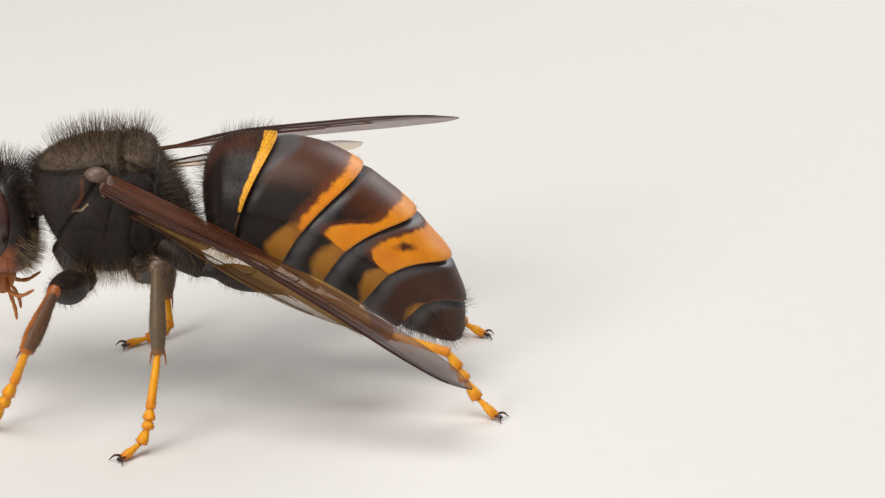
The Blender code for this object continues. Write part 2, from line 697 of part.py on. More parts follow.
def paint(item, finish):
    """Gives an object its own material."""
    red, green, blue, roughness, metallic = COLOURS[finish]
    material = bpy.data.materials.new(item.name)
    material.use_nodes = True
    shader = material.node_tree.nodes["Principled BSDF"]
    shader.inputs["Base Color"].default_value = (red, green, blue, 1.0)
    shader.inputs["Roughness"].default_value = roughness
    shader.inputs["Metallic"].default_value = metallic
    item.data.materials.clear()
    item.data.materials.append(material)


def finish_of(name):
    """The colour of a piece, by its name."""
    rules = [("eye", "eye"), ("wing", "wing"), ("tarsus", "yellow"), ("mandible", "orange"),
             ("mouthparts", "orange"), ("tegula", "red_brown"), ("antenna", "brown"), ("gaster_4", "orange"),
             ("gaster", "brown"), ("tibia", "brown")]
    for word, finish in rules:
        if word in name:
            return finish
    return "black"


def main():
    for item in list(bpy.data.objects):
        bpy.data.objects.remove(item, do_unlink=True)

    whole, pronotum, mesothorax, propodeum = build_thorax()
    gaster = build_gaster()
    head_parts = build_head(whole)
    head = head_parts[0]
    jaws = [item for item in head_parts if item.name.startswith("mandible")]
    pieces = [pronotum, mesothorax, propodeum, *gaster, *head_parts, build_mouth(head, jaws)]

    neck = add_object("neck", tube(NECK, [NECK_RADIUS] * 2))
    cut_clear(neck, head, whole)
    petiole = add_object("petiole", tube(PETIOLE, [PETIOLE_RADIUS] * 2))
    cut_clear(petiole, whole, gaster[0])
    pieces += [neck, petiole]

    for side, word in ((-1, "left"), (1, "right")):
        centre, radii = TEGULA
        tegula = add_object(f"tegula_{word}", ellipsoid((centre[0], centre[1] * side, centre[2]), radii))
        cut_clear(tegula, whole)
        pieces.append(tegula)
        for pair in ("forewing", "hindwing"):
            name = f"{pair}_{word}"
            wing = build_wing(name, *WINGS[name])
            cut_clear(wing, whole, tegula)
            pieces.append(wing)

    for name, points in LEGS.items():
        pieces += build_leg(name, points, [whole])
    bpy.data.objects.remove(whole, do_unlink=True)

    corners = np.array([vert.co[:] for item in pieces for vert in item.data.vertices])
    low, high = corners.min(axis=0), corners.max(axis=0)
    shift = Matrix.Translation((-(low[0] + high[0]) / 2, -(low[1] + high[1]) / 2, -low[2]))
    for item in pieces:
        item.data.transform(Matrix.Scale(0.001, 4) @ shift)
        item.data.shade_smooth()
        item.data.set_sharp_from_angle(angle=math.radians(40))
        paint(item, finish_of(item.name))


main()
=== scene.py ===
import math

import bmesh
import bpy
import numpy as np
from mathutils import Matrix, Vector


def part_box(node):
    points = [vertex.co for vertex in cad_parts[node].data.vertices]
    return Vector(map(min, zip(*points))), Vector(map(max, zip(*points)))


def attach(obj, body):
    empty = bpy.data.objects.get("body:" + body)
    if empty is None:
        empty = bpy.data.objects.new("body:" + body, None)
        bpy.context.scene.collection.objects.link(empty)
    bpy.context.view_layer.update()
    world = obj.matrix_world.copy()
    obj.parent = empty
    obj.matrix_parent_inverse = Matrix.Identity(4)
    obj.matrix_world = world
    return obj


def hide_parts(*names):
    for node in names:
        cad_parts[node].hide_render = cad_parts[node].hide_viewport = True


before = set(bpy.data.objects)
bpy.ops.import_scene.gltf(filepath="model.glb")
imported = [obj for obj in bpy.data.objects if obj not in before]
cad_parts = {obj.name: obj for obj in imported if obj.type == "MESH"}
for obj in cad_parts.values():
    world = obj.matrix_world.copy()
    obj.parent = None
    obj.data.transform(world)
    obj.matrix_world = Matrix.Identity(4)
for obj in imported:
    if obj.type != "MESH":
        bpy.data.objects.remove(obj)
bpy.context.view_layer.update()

# Shapes are worked out in millimetres: x from head to tail, the left side faces -y, z = 0 is the floor.
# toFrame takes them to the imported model's metres.


def smooth(low, high, value):  # 0 up to low, 1 from high on
    t = np.clip((value - low) / (high - low), 0.0, 1.0)
    return t * t * (3 - 2 * t)


def bell(value, middle, width):
    return np.exp(-((value - middle) / width) ** 2)


def along(points, places):  # a smooth curve through the points, one unit of place for each
    points = np.array(points, float)
    places = np.asarray(places, float)
    ends = np.vstack([2 * points[:1] - points[1:2], points, 2 * points[-1:] - points[-2:-1]])
    start = np.clip(places.astype(int), 0, len(points) - 2)
    t = (places - start)[..., None]
    before, here, there, after = (ends[start + k] for k in range(4))
    return 0.5 * (2 * here + (there - before) * t + (2 * before - 5 * here + 4 * there - after) * t ** 2
                  + (3 * here - before - 3 * there + after) * t ** 3)


def powerCosine(angle, roundness):
    value = np.cos(angle)
    return np.sign(value) * np.abs(value) ** (2 / roundness)


def unit(vectors):
    return vectors / np.maximum(np.linalg.norm(vectors, axis=-1, keepdims=True), 1e-12)


def lineDistance(x, z, line):  # how far points of the side view are from a bent line
    best = np.full(np.shape(x), 1e9)
    for (x0, z0), (x1, z1) in zip(line, line[1:]):
        dx, dz = x1 - x0, z1 - z0
        t = np.clip(((x - x0) * dx + (z - z0) * dz) / (dx * dx + dz * dz), 0, 1)
        best = np.minimum(best, np.hypot(x - x0 - t * dx, z - z0 - t * dz))
    return best


def meshValues(items, key, width, kind=float):  # one row of values for each of a mesh's items
    flat = np.empty(len(items) * width, kind)
    items.foreach_get(key, flat)
    return flat.reshape(-1, width)


def readPoints(mesh):
    return meshValues(mesh.vertices, "co", 3)


def writePoints(mesh, points):
    mesh.vertices.foreach_set("co", np.asarray(points, float).ravel())
    mesh.update()


def clearSelection():
    for item in bpy.context.selected_objects:
        item.select_set(False)


# One eye's shape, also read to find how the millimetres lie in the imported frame
eye = {"middle": (-5.85, 1.86, 9.00), "half": (1.42, 0.86, 2.02), "turn": 30, "lean": 11, "notch": 0.32}


def eyeForm(side, segments, rings):
    clearSelection()
    bpy.ops.mesh.primitive_uv_sphere_add(segments=segments, ring_count=rings, radius=1)
    piece = bpy.context.object
    x, y, z = readPoints(piece.data).T
    notch = eye["notch"] * np.maximum(0, -x) * bell(z, 0.1, 0.38)
    turn = (Matrix.Rotation(math.radians(side * eye["lean"]), 3, "X")
            @ Matrix.Rotation(math.radians(side * eye["turn"]), 3, "Z"))
    local = np.stack([x + notch, y, z], axis=-1) * np.array(eye["half"])
    middle = np.array(eye["middle"]) * (1, side, 1)
    writePoints(piece.data, local @ np.array(turn).T + middle)
    return piece


trial = eyeForm(-1, 18, 14)
shift = readPoints(trial.data).min(axis=0) - 1000 * np.array(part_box("eye_left")[0])
shift[2] = 0.0
bpy.data.objects.remove(trial, do_unlink=True)


def toFrame(points):
    return (np.asarray(points, float) - shift) / 1000


# Pieces

def tidySkin(piece, closed=True):  # merges the seam and the poles, turns the faces outwards
    mesh = bmesh.new()
    mesh.from_mesh(piece.data)
    bmesh.ops.remove_doubles(mesh, verts=mesh.verts, dist=1.5e-6)
    bmesh.ops.dissolve_degenerate(mesh, edges=mesh.edges, dist=1e-7)
    if closed:
        bmesh.ops.recalc_face_normals(mesh, faces=mesh.faces)
    mesh.to_mesh(piece.data)
    mesh.free()
    for face in piece.data.polygons:
        face.use_smooth = True


def wrapSheet(name, columns, rows, shape, fields=None, closed=True):
    # A flat grid is wrapped into a skin: shape takes the grid's u and v to points, fields to attributes
    clearSelection()
    bpy.ops.mesh.primitive_grid_add(x_subdivisions=columns, y_subdivisions=rows, size=2)
    piece = bpy.context.object
    piece.name = piece.data.name = name
    piece.data.uv_layers[0].name = "skin"
    u, v = (readPoints(piece.data)[:, :2].T + 1) / 2
    points = shape(u, v)
    writePoints(piece.data, toFrame(points))
    for label, values in (fields(u, v, points) if fields else {}).items():
        layer = piece.data.attributes.new(label, "FLOAT", "POINT")
        layer.data.foreach_set("value", np.asarray(values, float))
    tidySkin(piece, closed)
    return piece


def runFrames(line):  # two directions across a line at each of its points, turning as little as they can
    runs = unit(np.gradient(line, axis=0))
    side = np.cross(runs[0], (0, 0, 1))
    if np.linalg.norm(side) < 0.2:
        side = np.cross(runs[0], (0, 1, 0))
    firsts, seconds = [], []
    for run in runs:
        side = unit(side - run * np.dot(side, run))
        firsts.append(side)
        seconds.append(np.cross(run, side))
    return runs, np.array(firsts), np.array(seconds)


def limbSkin(name, points, radii, rows=26, sides=20, flat=1.0, domes=(0.62, 0.62), wave=None):
    # A limb along a smooth curve, with radii at even steps, rounded ends, and wave to swell or pinch it
    steps = np.linspace(0, len(points) - 1, rows)
    line = along(points, steps)
    widths = along([[r] for r in radii], np.linspace(0, len(radii) - 1, rows))[:, 0]
    if wave is not None:
        widths = widths * wave(np.linspace(0, 1, rows))
    runs, first, second = runFrames(line)
    turns = np.radians([90, 72, 54, 34, 14])
    caps = []
    for end, run, dome in ((0, -runs[0], domes[0]), (-1, runs[-1], domes[1])):
        caps.append((line[end] + run * widths[end] * dome * np.sin(turns)[:, None],
                     widths[end] * np.cos(turns)))
    line = np.vstack([caps[0][0], line, caps[1][0][::-1]])
    widths = np.concatenate([caps[0][1], widths, caps[1][1][::-1]])
    widths[[0, -1]] = 0
    first = np.vstack([np.repeat(first[:1], 5, 0), first, np.repeat(first[-1:], 5, 0)])
    second = np.vstack([np.repeat(second[:1], 5, 0), second, np.repeat(second[-1:], 5, 0)])

    def shape(u, v):
        row = np.rint(v * (len(line) - 1)).astype(int)
        turn = 2 * math.pi * u
        points = (line[row] + (widths[row] * np.cos(turn))[:, None] * first[row]
                  + (widths[row] * flat * np.sin(turn))[:, None] * second[row])
        points[:, 2] = np.maximum(points[:, 2], 0)  # feet stand flat on the floor
        return points

    def fields(u, v, points):  # how far along, and how far round to the side that faces the tail
        row = np.rint(v * (len(line) - 1)).astype(int)
        turn = 2 * math.pi * u
        return {"run": v, "rear": np.cos(turn) * first[row, 0] + np.sin(turn) * second[row, 0]}

    return wrapSheet(name, sides, len(line) - 1, shape, fields)


def joined(name, items):
    clearSelection()
    for item in items:
        item.select_set(True)
    bpy.context.view_layer.objects.active = items[0]
    if len(items) > 1:
        bpy.ops.object.join()
    items[0].name = items[0].data.name = name
    clearSelection()
    return items[0]


def painted(item, material):
    item.data.materials.clear()
    item.data.materials.append(material)
    return item


def settle(piece, slot, *nodes):  # the piece rides with the hornet and stands for its solids
    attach(piece, "root")
    if nodes:
        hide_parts(*nodes)
    return piece


def mirroredLine(points, side):
    return [(x, y * side, z) for x, y, z in points]


sides = {"left": -1, "right": 1}

# Finishes


class Wire:  # a node's output that can be used in Python sums
    def __init__(self, finish, socket):
        self.finish = finish
        self.socket = socket

    def __add__(self, other):
        return self.finish.maths("ADD", self, other)

    def __sub__(self, other):
        return self.finish.maths("SUBTRACT", self, other)

    def __mul__(self, other):
        return self.finish.maths("MULTIPLY", self, other)

    def __rsub__(self, other):
        return self.finish.maths("SUBTRACT", other, self)

    __radd__ = __add__

    def clamped(self):
        return self.finish.node("ShaderNodeClamp", {}, {"Value": self})


class Finish:  # a material under construction
    def __init__(self, name, **fixed):
        self.material = bpy.data.materials.new(name)
        self.material.use_nodes = True
        self.tree = self.material.node_tree
        self.shader = self.tree.nodes["Principled BSDF"]
        for socket, value in fixed.items():
            self.shader.inputs[socket.replace("_", " ")].default_value = value

    def node(self, kind, settings, sockets, output=0):
        made = self.tree.nodes.new(kind)
        for key, value in settings.items():
            setattr(made, key, value)
        for key, value in sockets.items():
            self.feed(made.inputs[key], value)
        return Wire(self, made.outputs[output])

    def feed(self, socket, value):
        if isinstance(value, Wire):
            self.tree.links.new(value.socket, socket)
        elif isinstance(value, tuple) and len(value) == 3 and len(socket.default_value) == 4:
            socket.default_value = (*value, 1)
        else:
            socket.default_value = value

    def maths(self, operation, first, second):
        return self.node("ShaderNodeMath", {"operation": operation}, {0: first, 1: second})

    def mixed(self, factor, first, second):
        return self.node("ShaderNodeMix", {"data_type": "RGBA"}, {0: factor, 6: first, 7: second}, 2)

    def layered(self, colour, *layers):  # each layer is a factor and the colour laid over what is there
        for factor, over in layers:
            colour = self.mixed(factor, colour, over)
        return colour

    def field(self, name, output=2):  # one of the skin's own attributes: output 2 is its value, 0 its colour
        return self.node("ShaderNodeAttribute", {"attribute_name": name}, {}, output)

    def grain(self, size, detail=3, stretch=(1, 1, 1), roughness=0.5):  # noise with marks about size mm across
        spot = self.node("ShaderNodeTexCoord", {}, {}, "Object")
        spot = self.node("ShaderNodeMapping", {}, {"Vector": spot, "Scale": stretch})
        return self.node("ShaderNodeTexNoise", {},
                         {"Vector": spot, "Scale": 1000 / size, "Detail": detail, "Roughness": roughness})

    def pits(self, size):  # rounded cells about size mm across
        spot = self.node("ShaderNodeTexCoord", {}, {}, "Object")
        return self.node("ShaderNodeTexVoronoi", {}, {"Vector": spot, "Scale": 1000 / size})

    def mask(self, field, ragged, wander, soft):  # 1 inside a marking, whose edge wanders and fades in mm
        if isinstance(field, str):
            field = self.field(field)
        return ((field + (ragged - 0.5) * wander) * (1 / soft) + 0.5).clamped()

    def bump(self, height, depth):  # height 0 to 1, depth in millimetres
        return self.node("ShaderNodeBump", {}, {"Height": height, "Distance": depth / 1000})

    def wear(self, colour=None, roughness=None, normal=None, alpha=None):
        for name, value in (("Base Color", colour), ("Roughness", roughness), ("Normal", normal),
                            ("Alpha", alpha)):
            if value is not None:
                self.feed(self.shader.inputs[name], value)
        return self.material


def cuticle(name, dark, pale, rough=(0.3, 0.5), cloudSize=0.5, **fixed):
    finish = Finish(name, **fixed)
    cloud = finish.grain(cloudSize, 4)
    return finish.wear(finish.mixed(cloud, dark, pale), cloud * (rough[1] - rough[0]) + rough[0],
                       finish.bump(finish.pits(0.09), 0.006))


# The grey-blue hue used on the abdomen rings is a painted sheen: a reflection painted into the colour
hue = {
    "black": (0.008, 0.006, 0.006), "deepBlack": (0.004, 0.003, 0.003), "brown": (0.045, 0.014, 0.004),
    "redBrown": (0.100, 0.026, 0.006), "paintedSheenGrey": (0.085, 0.084, 0.090), "deepOrange": (0.600, 0.140, 0.004),
    "lightOrange": (0.900, 0.350, 0.008), "yellow": (0.880, 0.400, 0.018), "ochre": (0.420, 0.175, 0.018),
    "bone": (0.420, 0.320, 0.180), "darkDownAndSheen": (0.056, 0.037, 0.025), "paleDownAndSheen": (0.205, 0.146, 0.096),
}


def velvetFinish():  # the thorax: dark cuticle under grey-brown down with a painted bronze sheen on top, and a brown lobe rim
    finish = Finish("darkVelvet", Specular_IOR_Level=0.28, Sheen_Weight=0.05, Sheen_Roughness=0.4,
                    Sheen_Tint=(0.75, 0.66, 0.58, 1))
    cloud, ragged = finish.grain(0.9, 4), finish.grain(0.25, 3)
    fine = finish.grain(0.07, 3, (1, 1, 0.35), 0.7)
    colour = finish.layered(
        finish.mixed(cloud, hue["black"], (0.022, 0.012, 0.010)),
        # on top the grey-brown down is partly a painted sheen: the upper side painted lighter, where the light
        # falls
        (finish.mask(finish.field("top") - 0.15, ragged, 0.2, 0.6),
         finish.mixed(fine, hue["darkDownAndSheen"], hue["paleDownAndSheen"])),
        (finish.mask("seam", ragged, 0.02, 0.06) * 0.85, hue["deepBlack"]),
        (finish.mask("rim", ragged, 0.10, 0.10) * 0.8, (0.100, 0.028, 0.012)),
        (finish.mask("edge", ragged, 0.05, 0.08) * 0.8, hue["bone"]))
    shine = finish.mask("polish", ragged, 0.10, 0.20)
    roughness = 0.66 - shine * 0.30 + (fine - 0.5) * 0.2 - cloud * 0.14
    return finish.wear(colour, roughness, finish.bump(fine * 0.6 + finish.pits(0.10) * 0.4, 0.035))


def bandedFinish():  # the abdomen's rings, with yellow and orange bands, and a painted grey sheen on the smoother base of each ring
    finish = Finish("bandedShell", Specular_IOR_Level=0.32, Coat_Weight=0.04, Coat_Roughness=0.3)
    cloud, ragged, fine = finish.grain(1.4, 4), finish.grain(0.35, 4), finish.grain(0.07, 2)
    warm = finish.mask("warm", cloud, 0.9, 1.2)
    # painted sheen: a grey-blue reflection painted as lighter colour on each ring's base, where the shell is also
    # smoother
    bloom = finish.mask("bloom", ragged, 0.18, 0.45)
    colour = finish.layered(
        finish.mixed(warm, (0.011, 0.006, 0.005), hue["brown"]),
        (warm * cloud * 0.8, hue["redBrown"]),
        (bloom * 0.75, hue["paintedSheenGrey"]),
        (finish.mask("ochre", cloud, 0.9, 0.35) * 0.85, hue["ochre"]),
        (finish.mask(finish.field("orange") + 0.30, ragged, 0.45, 0.60) * 0.5, (0.230, 0.050, 0.006)),
        (finish.mask("orange", ragged, 0.45, 0.22), finish.mixed(cloud, hue["deepOrange"], hue["lightOrange"])),
        (finish.mask("yellow", ragged, 0.16, 0.07), hue["yellow"]),
        (finish.mask("lip", ragged, 0.02, 0.05) * 0.5, (0.20, 0.08, 0.03)))
    roughness = 0.46 + (fine - 0.5) * 0.12 - bloom * 0.12
    return finish.wear(colour, roughness, finish.bump(finish.pits(0.11) * 0.6 + fine * 0.4, 0.009))


def faceFinish():  # the head: orange face and cheeks, black crown and nape
    finish = Finish("faceShell", Coat_Weight=0.15, Coat_Roughness=0.3)
    cloud, ragged = finish.grain(0.8, 4), finish.grain(0.3, 4)
    colour = finish.layered(
        finish.mixed(cloud, hue["black"], (0.026, 0.017, 0.015)),
        (finish.mask(finish.field("face") - 0.1, ragged, 0.30, 0.55),
         finish.mixed(cloud, (0.160, 0.028, 0.004), (0.420, 0.100, 0.008))),
        (finish.mask("seam", ragged, 0.02, 0.06) * 0.8, hue["black"]))
    return finish.wear(colour, 0.40 + (cloud - 0.5) * 0.2, finish.bump(finish.pits(0.12), 0.010))


def eyeFinish():  # dark red-brown facets, paler above
    finish = Finish("eyeLens", Coat_Weight=0.6, Coat_Roughness=0.08)
    cloud = finish.grain(1.3, 3)
    colour = finish.mixed(finish.field("height"), (0.022, 0.006, 0.004), (0.120, 0.048, 0.038))
    colour = finish.mixed(cloud * 0.5, colour, (0.022, 0.008, 0.007))
    return finish.wear(colour, 0.24 + cloud * 0.08, finish.bump(finish.pits(0.035), 0.003))


def wingFinish():  # smoky amber skin, redder and darker along the front edge, with a painted highlight near the root
    finish = Finish("wingSkin", Specular_IOR_Level=0.16)
    ripple, fine = finish.grain(0.5, 4, (0.25, 1, 1)), finish.grain(0.06, 2)
    front = finish.mask("front", ripple, 0.12, 0.35)
    # painted highlight: a lighter orange-brown patch along the top near the wing's root
    root = finish.mask(0.22 - finish.field("reach"), ripple, 0.1, 0.2)
    cloudy = finish.field("cloudy")
    smoky = finish.mixed(ripple, (0.034, 0.008, 0.003), (0.140, 0.036, 0.009))
    smoky = finish.mixed(root * 0.7, smoky, (0.150, 0.045, 0.014))
    amber = finish.mixed(ripple, (0.300, 0.140, 0.030), (0.620, 0.360, 0.100))
    colour = finish.mixed(front * 0.8, finish.mixed(cloudy, amber, smoky), (0.020, 0.005, 0.003))
    alpha = (cloudy * 0.15 + front * 0.30 + 0.28 + (ripple - 0.5) * 0.14).clamped()
    return finish.wear(colour, 0.45, finish.bump(ripple * 0.7 + fine * 0.3, 0.02), alpha)


def legFinish(name, near, far, blend=0.5, soft=0.25, rough=(0.35, 0.55), shade=None):
    # near and far colour along the limb, and shade on the side that faces the tail, but not at the ends
    finish = Finish(name, Specular_IOR_Level=0.4)
    cloud, fine = finish.grain(0.4, 4), finish.grain(0.07, 3, (1, 1, 0.4))
    run = finish.field("run")
    colour = finish.mixed(finish.mask(run - blend, cloud, 0.15, soft), near, far)
    colour = finish.mixed(cloud * 0.35, colour, tuple(0.45 * c for c in near))
    if shade:
        behind = finish.mask(finish.field("rear") + 0.55, cloud, 0.5, 0.5)
        middle = finish.mask(run * (1 - run) - 0.085, cloud, 0.06, 0.06)
        colour = finish.mixed(behind * middle * 0.9, colour, shade)
    return finish.wear(colour, cloud * (rough[1] - rough[0]) + rough[0], finish.bump(fine, 0.012))


def hairFinish():
    finish = Finish("hair", Specular_IOR_Level=0.35)
    return finish.wear(finish.field("tint", 0), finish.grain(0.4, 2) * 0.2 + 0.42)


paint = {
    "velvet": velvetFinish(), "banded": bandedFinish(), "face": faceFinish(), "eye": eyeFinish(),
    "wing": wingFinish(), "hair": hairFinish(),
    "vein": cuticle("wingVein", (0.016, 0.005, 0.003), (0.065, 0.016, 0.006), (0.45, 0.6), 0.4,
                    Specular_IOR_Level=0.22),
    "darkLeg": cuticle("darkLegShell", (0.006, 0.004, 0.004), (0.022, 0.012, 0.008), (0.38, 0.55),
                       Specular_IOR_Level=0.38),
    "frontTibia": legFinish("frontShin", (0.460, 0.115, 0.008), (0.560, 0.150, 0.008),
                            shade=(0.070, 0.040, 0.024)),
    "olive": legFinish("oliveShin", (0.125, 0.084, 0.048), (0.330, 0.110, 0.020), 0.90, 0.12),
    "foot": legFinish("footShell", (0.900, 0.370, 0.002), (0.760, 0.230, 0.002), 0.70, 0.2),
    "knee": cuticle("kneeCap", (0.190, 0.048, 0.010), (0.360, 0.100, 0.014), (0.3, 0.4), 0.3),
    "duskyKnee": cuticle("duskyKnee", (0.070, 0.042, 0.026), (0.150, 0.092, 0.056), (0.3, 0.45), 0.3),
    "claw": cuticle("clawHorn", (0.030, 0.010, 0.005), (0.110, 0.034, 0.010), (0.2, 0.3), 0.3),
    "jaw": legFinish("jawShell", (0.360, 0.080, 0.007), (0.018, 0.006, 0.004), 0.80, 0.12, (0.25, 0.35)),
    "palp": cuticle("palpShell", (0.320, 0.085, 0.012), (0.500, 0.180, 0.024), (0.35, 0.5), 0.3),
    "feelerBase": legFinish("feelerBase", (0.380, 0.095, 0.012), (0.110, 0.030, 0.010), 0.6),
    "feeler": legFinish("feelerWhip", (0.085, 0.026, 0.010), (0.040, 0.015, 0.008), 0.4),
    "scale": cuticle("wingScale", (0.045, 0.024, 0.017), (0.190, 0.115, 0.082), (0.3, 0.45), 0.35),
    "skinFold": cuticle("neckSkin", (0.026, 0.014, 0.010), (0.070, 0.038, 0.026), (0.4, 0.55), 0.3),
}
print("finishes made")

# Thorax

thorax = {
    "stations": [
        (-3.20, 10.05, -2.90, 8.75, 0.70), (-3.66, 10.95, -2.52, 8.05, 1.70), (-3.46, 11.52, -2.28, 7.50, 2.25),
        (-2.82, 12.04, -1.88, 6.80, 2.68), (-1.85, 12.50, -1.30, 6.28, 2.92), (-0.85, 12.76, -0.50, 6.02, 3.00),
        (0.25, 12.82, 0.40, 5.95, 3.00), (1.30, 12.82, 1.25, 6.22, 2.88), (2.15, 12.50, 2.05, 6.82, 2.66),
        (2.85, 11.50, 2.85, 7.10, 2.36), (3.45, 10.40, 3.45, 7.08, 1.98), (3.98, 9.30, 3.90, 7.08, 1.45),
        (4.24, 8.35, 4.14, 7.25, 0.65)],
    "roundness": 2.2,
    "cap": 0.04,    # share of the rows that close each end
    # Grooves seen from the side: a line, its depth and width
    "grooves": {
        "scutum": ([(-3.75, 11.36), (-2.4, 11.56), (0.25, 11.93)], 0.16, 0.085),
        "lobe": ([(0.25, 11.93), (-0.45, 11.0), (-1.35, 9.75), (-2.3, 8.4), (-3.0, 7.3)], 0.16, 0.085),
        "rear": ([(2.46, 13.0), (2.44, 10.5), (2.35, 8.6), (2.5, 6.6)], 0.16, 0.085),
        "cleft": ([(0.78, 13.2), (0.82, 12.5), (0.98, 12.0), (1.1, 11.7)], 0.26, 0.13),
        "foot": ([(0.98, 12.15), (1.4, 12.05), (2.1, 11.66), (2.5, 11.3)], 0.16, 0.12)},
    "sideSeams": [[(0.55, 10.3), (0.05, 8.3), (0.35, 6.3)], [(-2.0, 8.75), (-0.7, 9.0), (0.2, 8.9)],
                  [(1.65, 10.3), (1.30, 8.5), (1.75, 6.6)], [(3.1, 10.2), (3.2, 8.8), (3.9, 8.2)]],
    # Swellings of the flank: a line, its height and width
    "swells": [([(-1.3, 11.0), (-1.6, 10.5)], 0.10, 0.42), ([(-0.5, 9.7), (-0.2, 9.3)], 0.14, 0.55),
               ([(1.1, 9.9), (1.0, 8.2)], 0.10, 0.38), ([(-0.2, 10.9), (0.5, 10.9)], -0.12, 0.25)],
}


def bodySurface(stations, roundness, places, angle, grow=0.0):
    values = along(stations, places)
    backX, backZ, bellyX, bellyZ, half = values[..., :5].T
    bow = values[..., 5] if values.shape[-1] > 5 else 0.0
    middle = np.stack([(backX + bellyX) / 2, 0 * half, (backZ + bellyZ) / 2], -1)
    up = np.stack([(backX - bellyX) / 2, 0 * half, (backZ - bellyZ) / 2], -1)
    height = np.linalg.norm(up, axis=-1)
    up = up / height[:, None]
    forward = np.stack([-up[:, 2], 0 * half, up[:, 0]], -1)
    rise = (height + grow) * powerCosine(angle, roundness)
    side = (half + grow) * powerCosine(angle - math.pi / 2, roundness)
    points = middle + up * rise[:, None] + forward * (bow * np.sin(angle) ** 2)[:, None]
    points[:, 1] += side
    return points


def thoraxRelief(points):
    x, y, z = points.T
    wide = np.abs(y)
    relief = -sum(depth * bell(lineDistance(x, z, line), 0, width)
                  for line, depth, width in thorax["grooves"].values())
    for line in thorax["sideSeams"]:
        relief = relief - 0.07 * bell(lineDistance(x, z, line), 0, 0.09) * smooth(1.0, 1.8, wide)
    pillow = smooth(0.95, 1.3, x) * (1 - smooth(2.1, 2.45, x)) * smooth(11.7, 12.2, z)
    relief = relief + 0.12 * pillow - 0.05 * pillow * bell(y, 0, 0.16)
    scutum = smooth(-3.0, -2.0, x) * (1 - smooth(0.4, 0.75, x)) * smooth(11.9, 12.3, z)
    furrows = bell(wide, 0.95 + 0.12 * x, 0.07) + 0.7 * bell(y, 0, 0.06) * (1 - smooth(-2.2, -1.2, x))
    relief = relief - 0.05 * scutum * furrows
    rear = smooth(2.6, 3.0, x)
    relief = relief - 0.16 * rear * bell(y, 0, 0.28) + 0.05 * rear * bell(wide, 0.62, 0.3)
    flank = smooth(1.9, 2.4, wide)
    for line, height, width in thorax["swells"]:
        relief = relief + height * bell(lineDistance(x, z, line), 0, width) * flank
    return relief


def thoraxShape(u, v):
    cap, last = thorax["cap"], len(thorax["stations"]) - 1
    places = np.clip((v - cap) / (1 - 2 * cap), 0, 1) * last
    angle = 2 * math.pi * u
    plain = bodySurface(thorax["stations"], thorax["roundness"], places, angle)
    points = bodySurface(thorax["stations"], thorax["roundness"], places, angle, thoraxRelief(plain))
    for end, toEnd in ((0, v), (last, 1 - v)):
        backX, backZ, bellyX, bellyZ, _ = thorax["stations"][end]
        centre = np.array([(backX + bellyX) / 2, 0, (backZ + bellyZ) / 2])
        rows = toEnd < cap
        points[rows] = centre + (points[rows] - centre) * np.sqrt(toEnd[rows, None] / cap)
    return points


def thoraxFields(u, v, points):
    x, y, z = points.T
    wide = np.abs(y)
    flank = smooth(1.9, 2.3, wide)
    lobe = lineDistance(x, z, [(-0.96, 11.37), (-0.94, 10.76), (-1.05, 10.39), (-1.41, 10.08)])
    pale = lineDistance(x, z, [(-0.67, 10.29), (-1.02, 9.98), (-1.46, 9.88)])
    valve = lineDistance(x, z, [(4.02, 8.9), (4.02, 8.4), (3.9, 7.9)])
    seams = [thorax["grooves"][name][0] for name in ("scutum", "lobe", "cleft", "foot")]
    return {
        "top": z - np.interp(x, [-3.75, 0.25, 2.4], [11.42, 11.98, 11.75]) - 2 * smooth(2.3, 2.6, x),
        "seam": 0.07 - np.minimum.reduce([lineDistance(x, z, line) for line in seams]),
        "rim": 0.09 - lobe + (flank - 1) * 2,
        "edge": np.maximum(0.035 - pale + (flank - 1) * 2, 0.10 - valve - smooth(0.9, 1.3, wide)),
        "polish": np.maximum(0.30 - lineDistance(x, z, [(1.1, 12.1), (2.4, 11.9), (2.45, 12.6)]),
                             0.25 - np.abs(x - 2.62)) - 3 * (1 - smooth(11.3, 11.8, z)),
    }


thoraxSkin = wrapSheet("thoraxShell", 220, 200, thoraxShape, thoraxFields)
painted(thoraxSkin, paint["velvet"])
settle(thoraxSkin, "black_shell", "pronotum", "mesothorax", "propodeum")

tegula = {"middle": (-0.18, 2.72, 11.72), "half": (0.66, 0.42, 0.40), "lean": -8}
# Small plates at the wing roots
wingPlates = [((0.14, 2.90, 11.10), (0.22, 0.13, 0.50)), ((0.46, 2.90, 11.30), (0.24, 0.18, 0.46)),
              ((0.66, 2.86, 10.80), (0.34, 0.15, 0.20)), ((1.20, 2.80, 10.20), (0.30, 0.16, 0.20))]


def dome(name, middle, half, lean=0.0):  # a ball, a little sunk in front and behind on its upper half
    clearSelection()
    bpy.ops.mesh.primitive_uv_sphere_add(segments=32, ring_count=20, radius=1)
    piece = bpy.context.object
    piece.name = piece.data.name = name
    points = readPoints(piece.data)
    points[:, 2] -= 0.18 * points[:, 0] ** 2 * (points[:, 2] > 0)
    turn = np.array(Matrix.Rotation(-math.radians(lean), 3, "Y"))
    writePoints(piece.data, toFrame((points * np.array(half)) @ turn.T + np.array(middle)))
    piece.data.shade_smooth()
    return piece


for word, side in sides.items():
    plates = [dome("tegula_" + word, np.array(tegula["middle"]) * (1, side, 1), tegula["half"], tegula["lean"])]
    plates += [dome("plate", np.array(middle) * (1, side, 1), half) for middle, half in wingPlates]
    plates = [painted(plate, paint["scale"]) for plate in plates]
    settle(joined("wingScale_" + word, plates), "feeler", "tegula_" + word)
print("thorax made")

# Abdomen

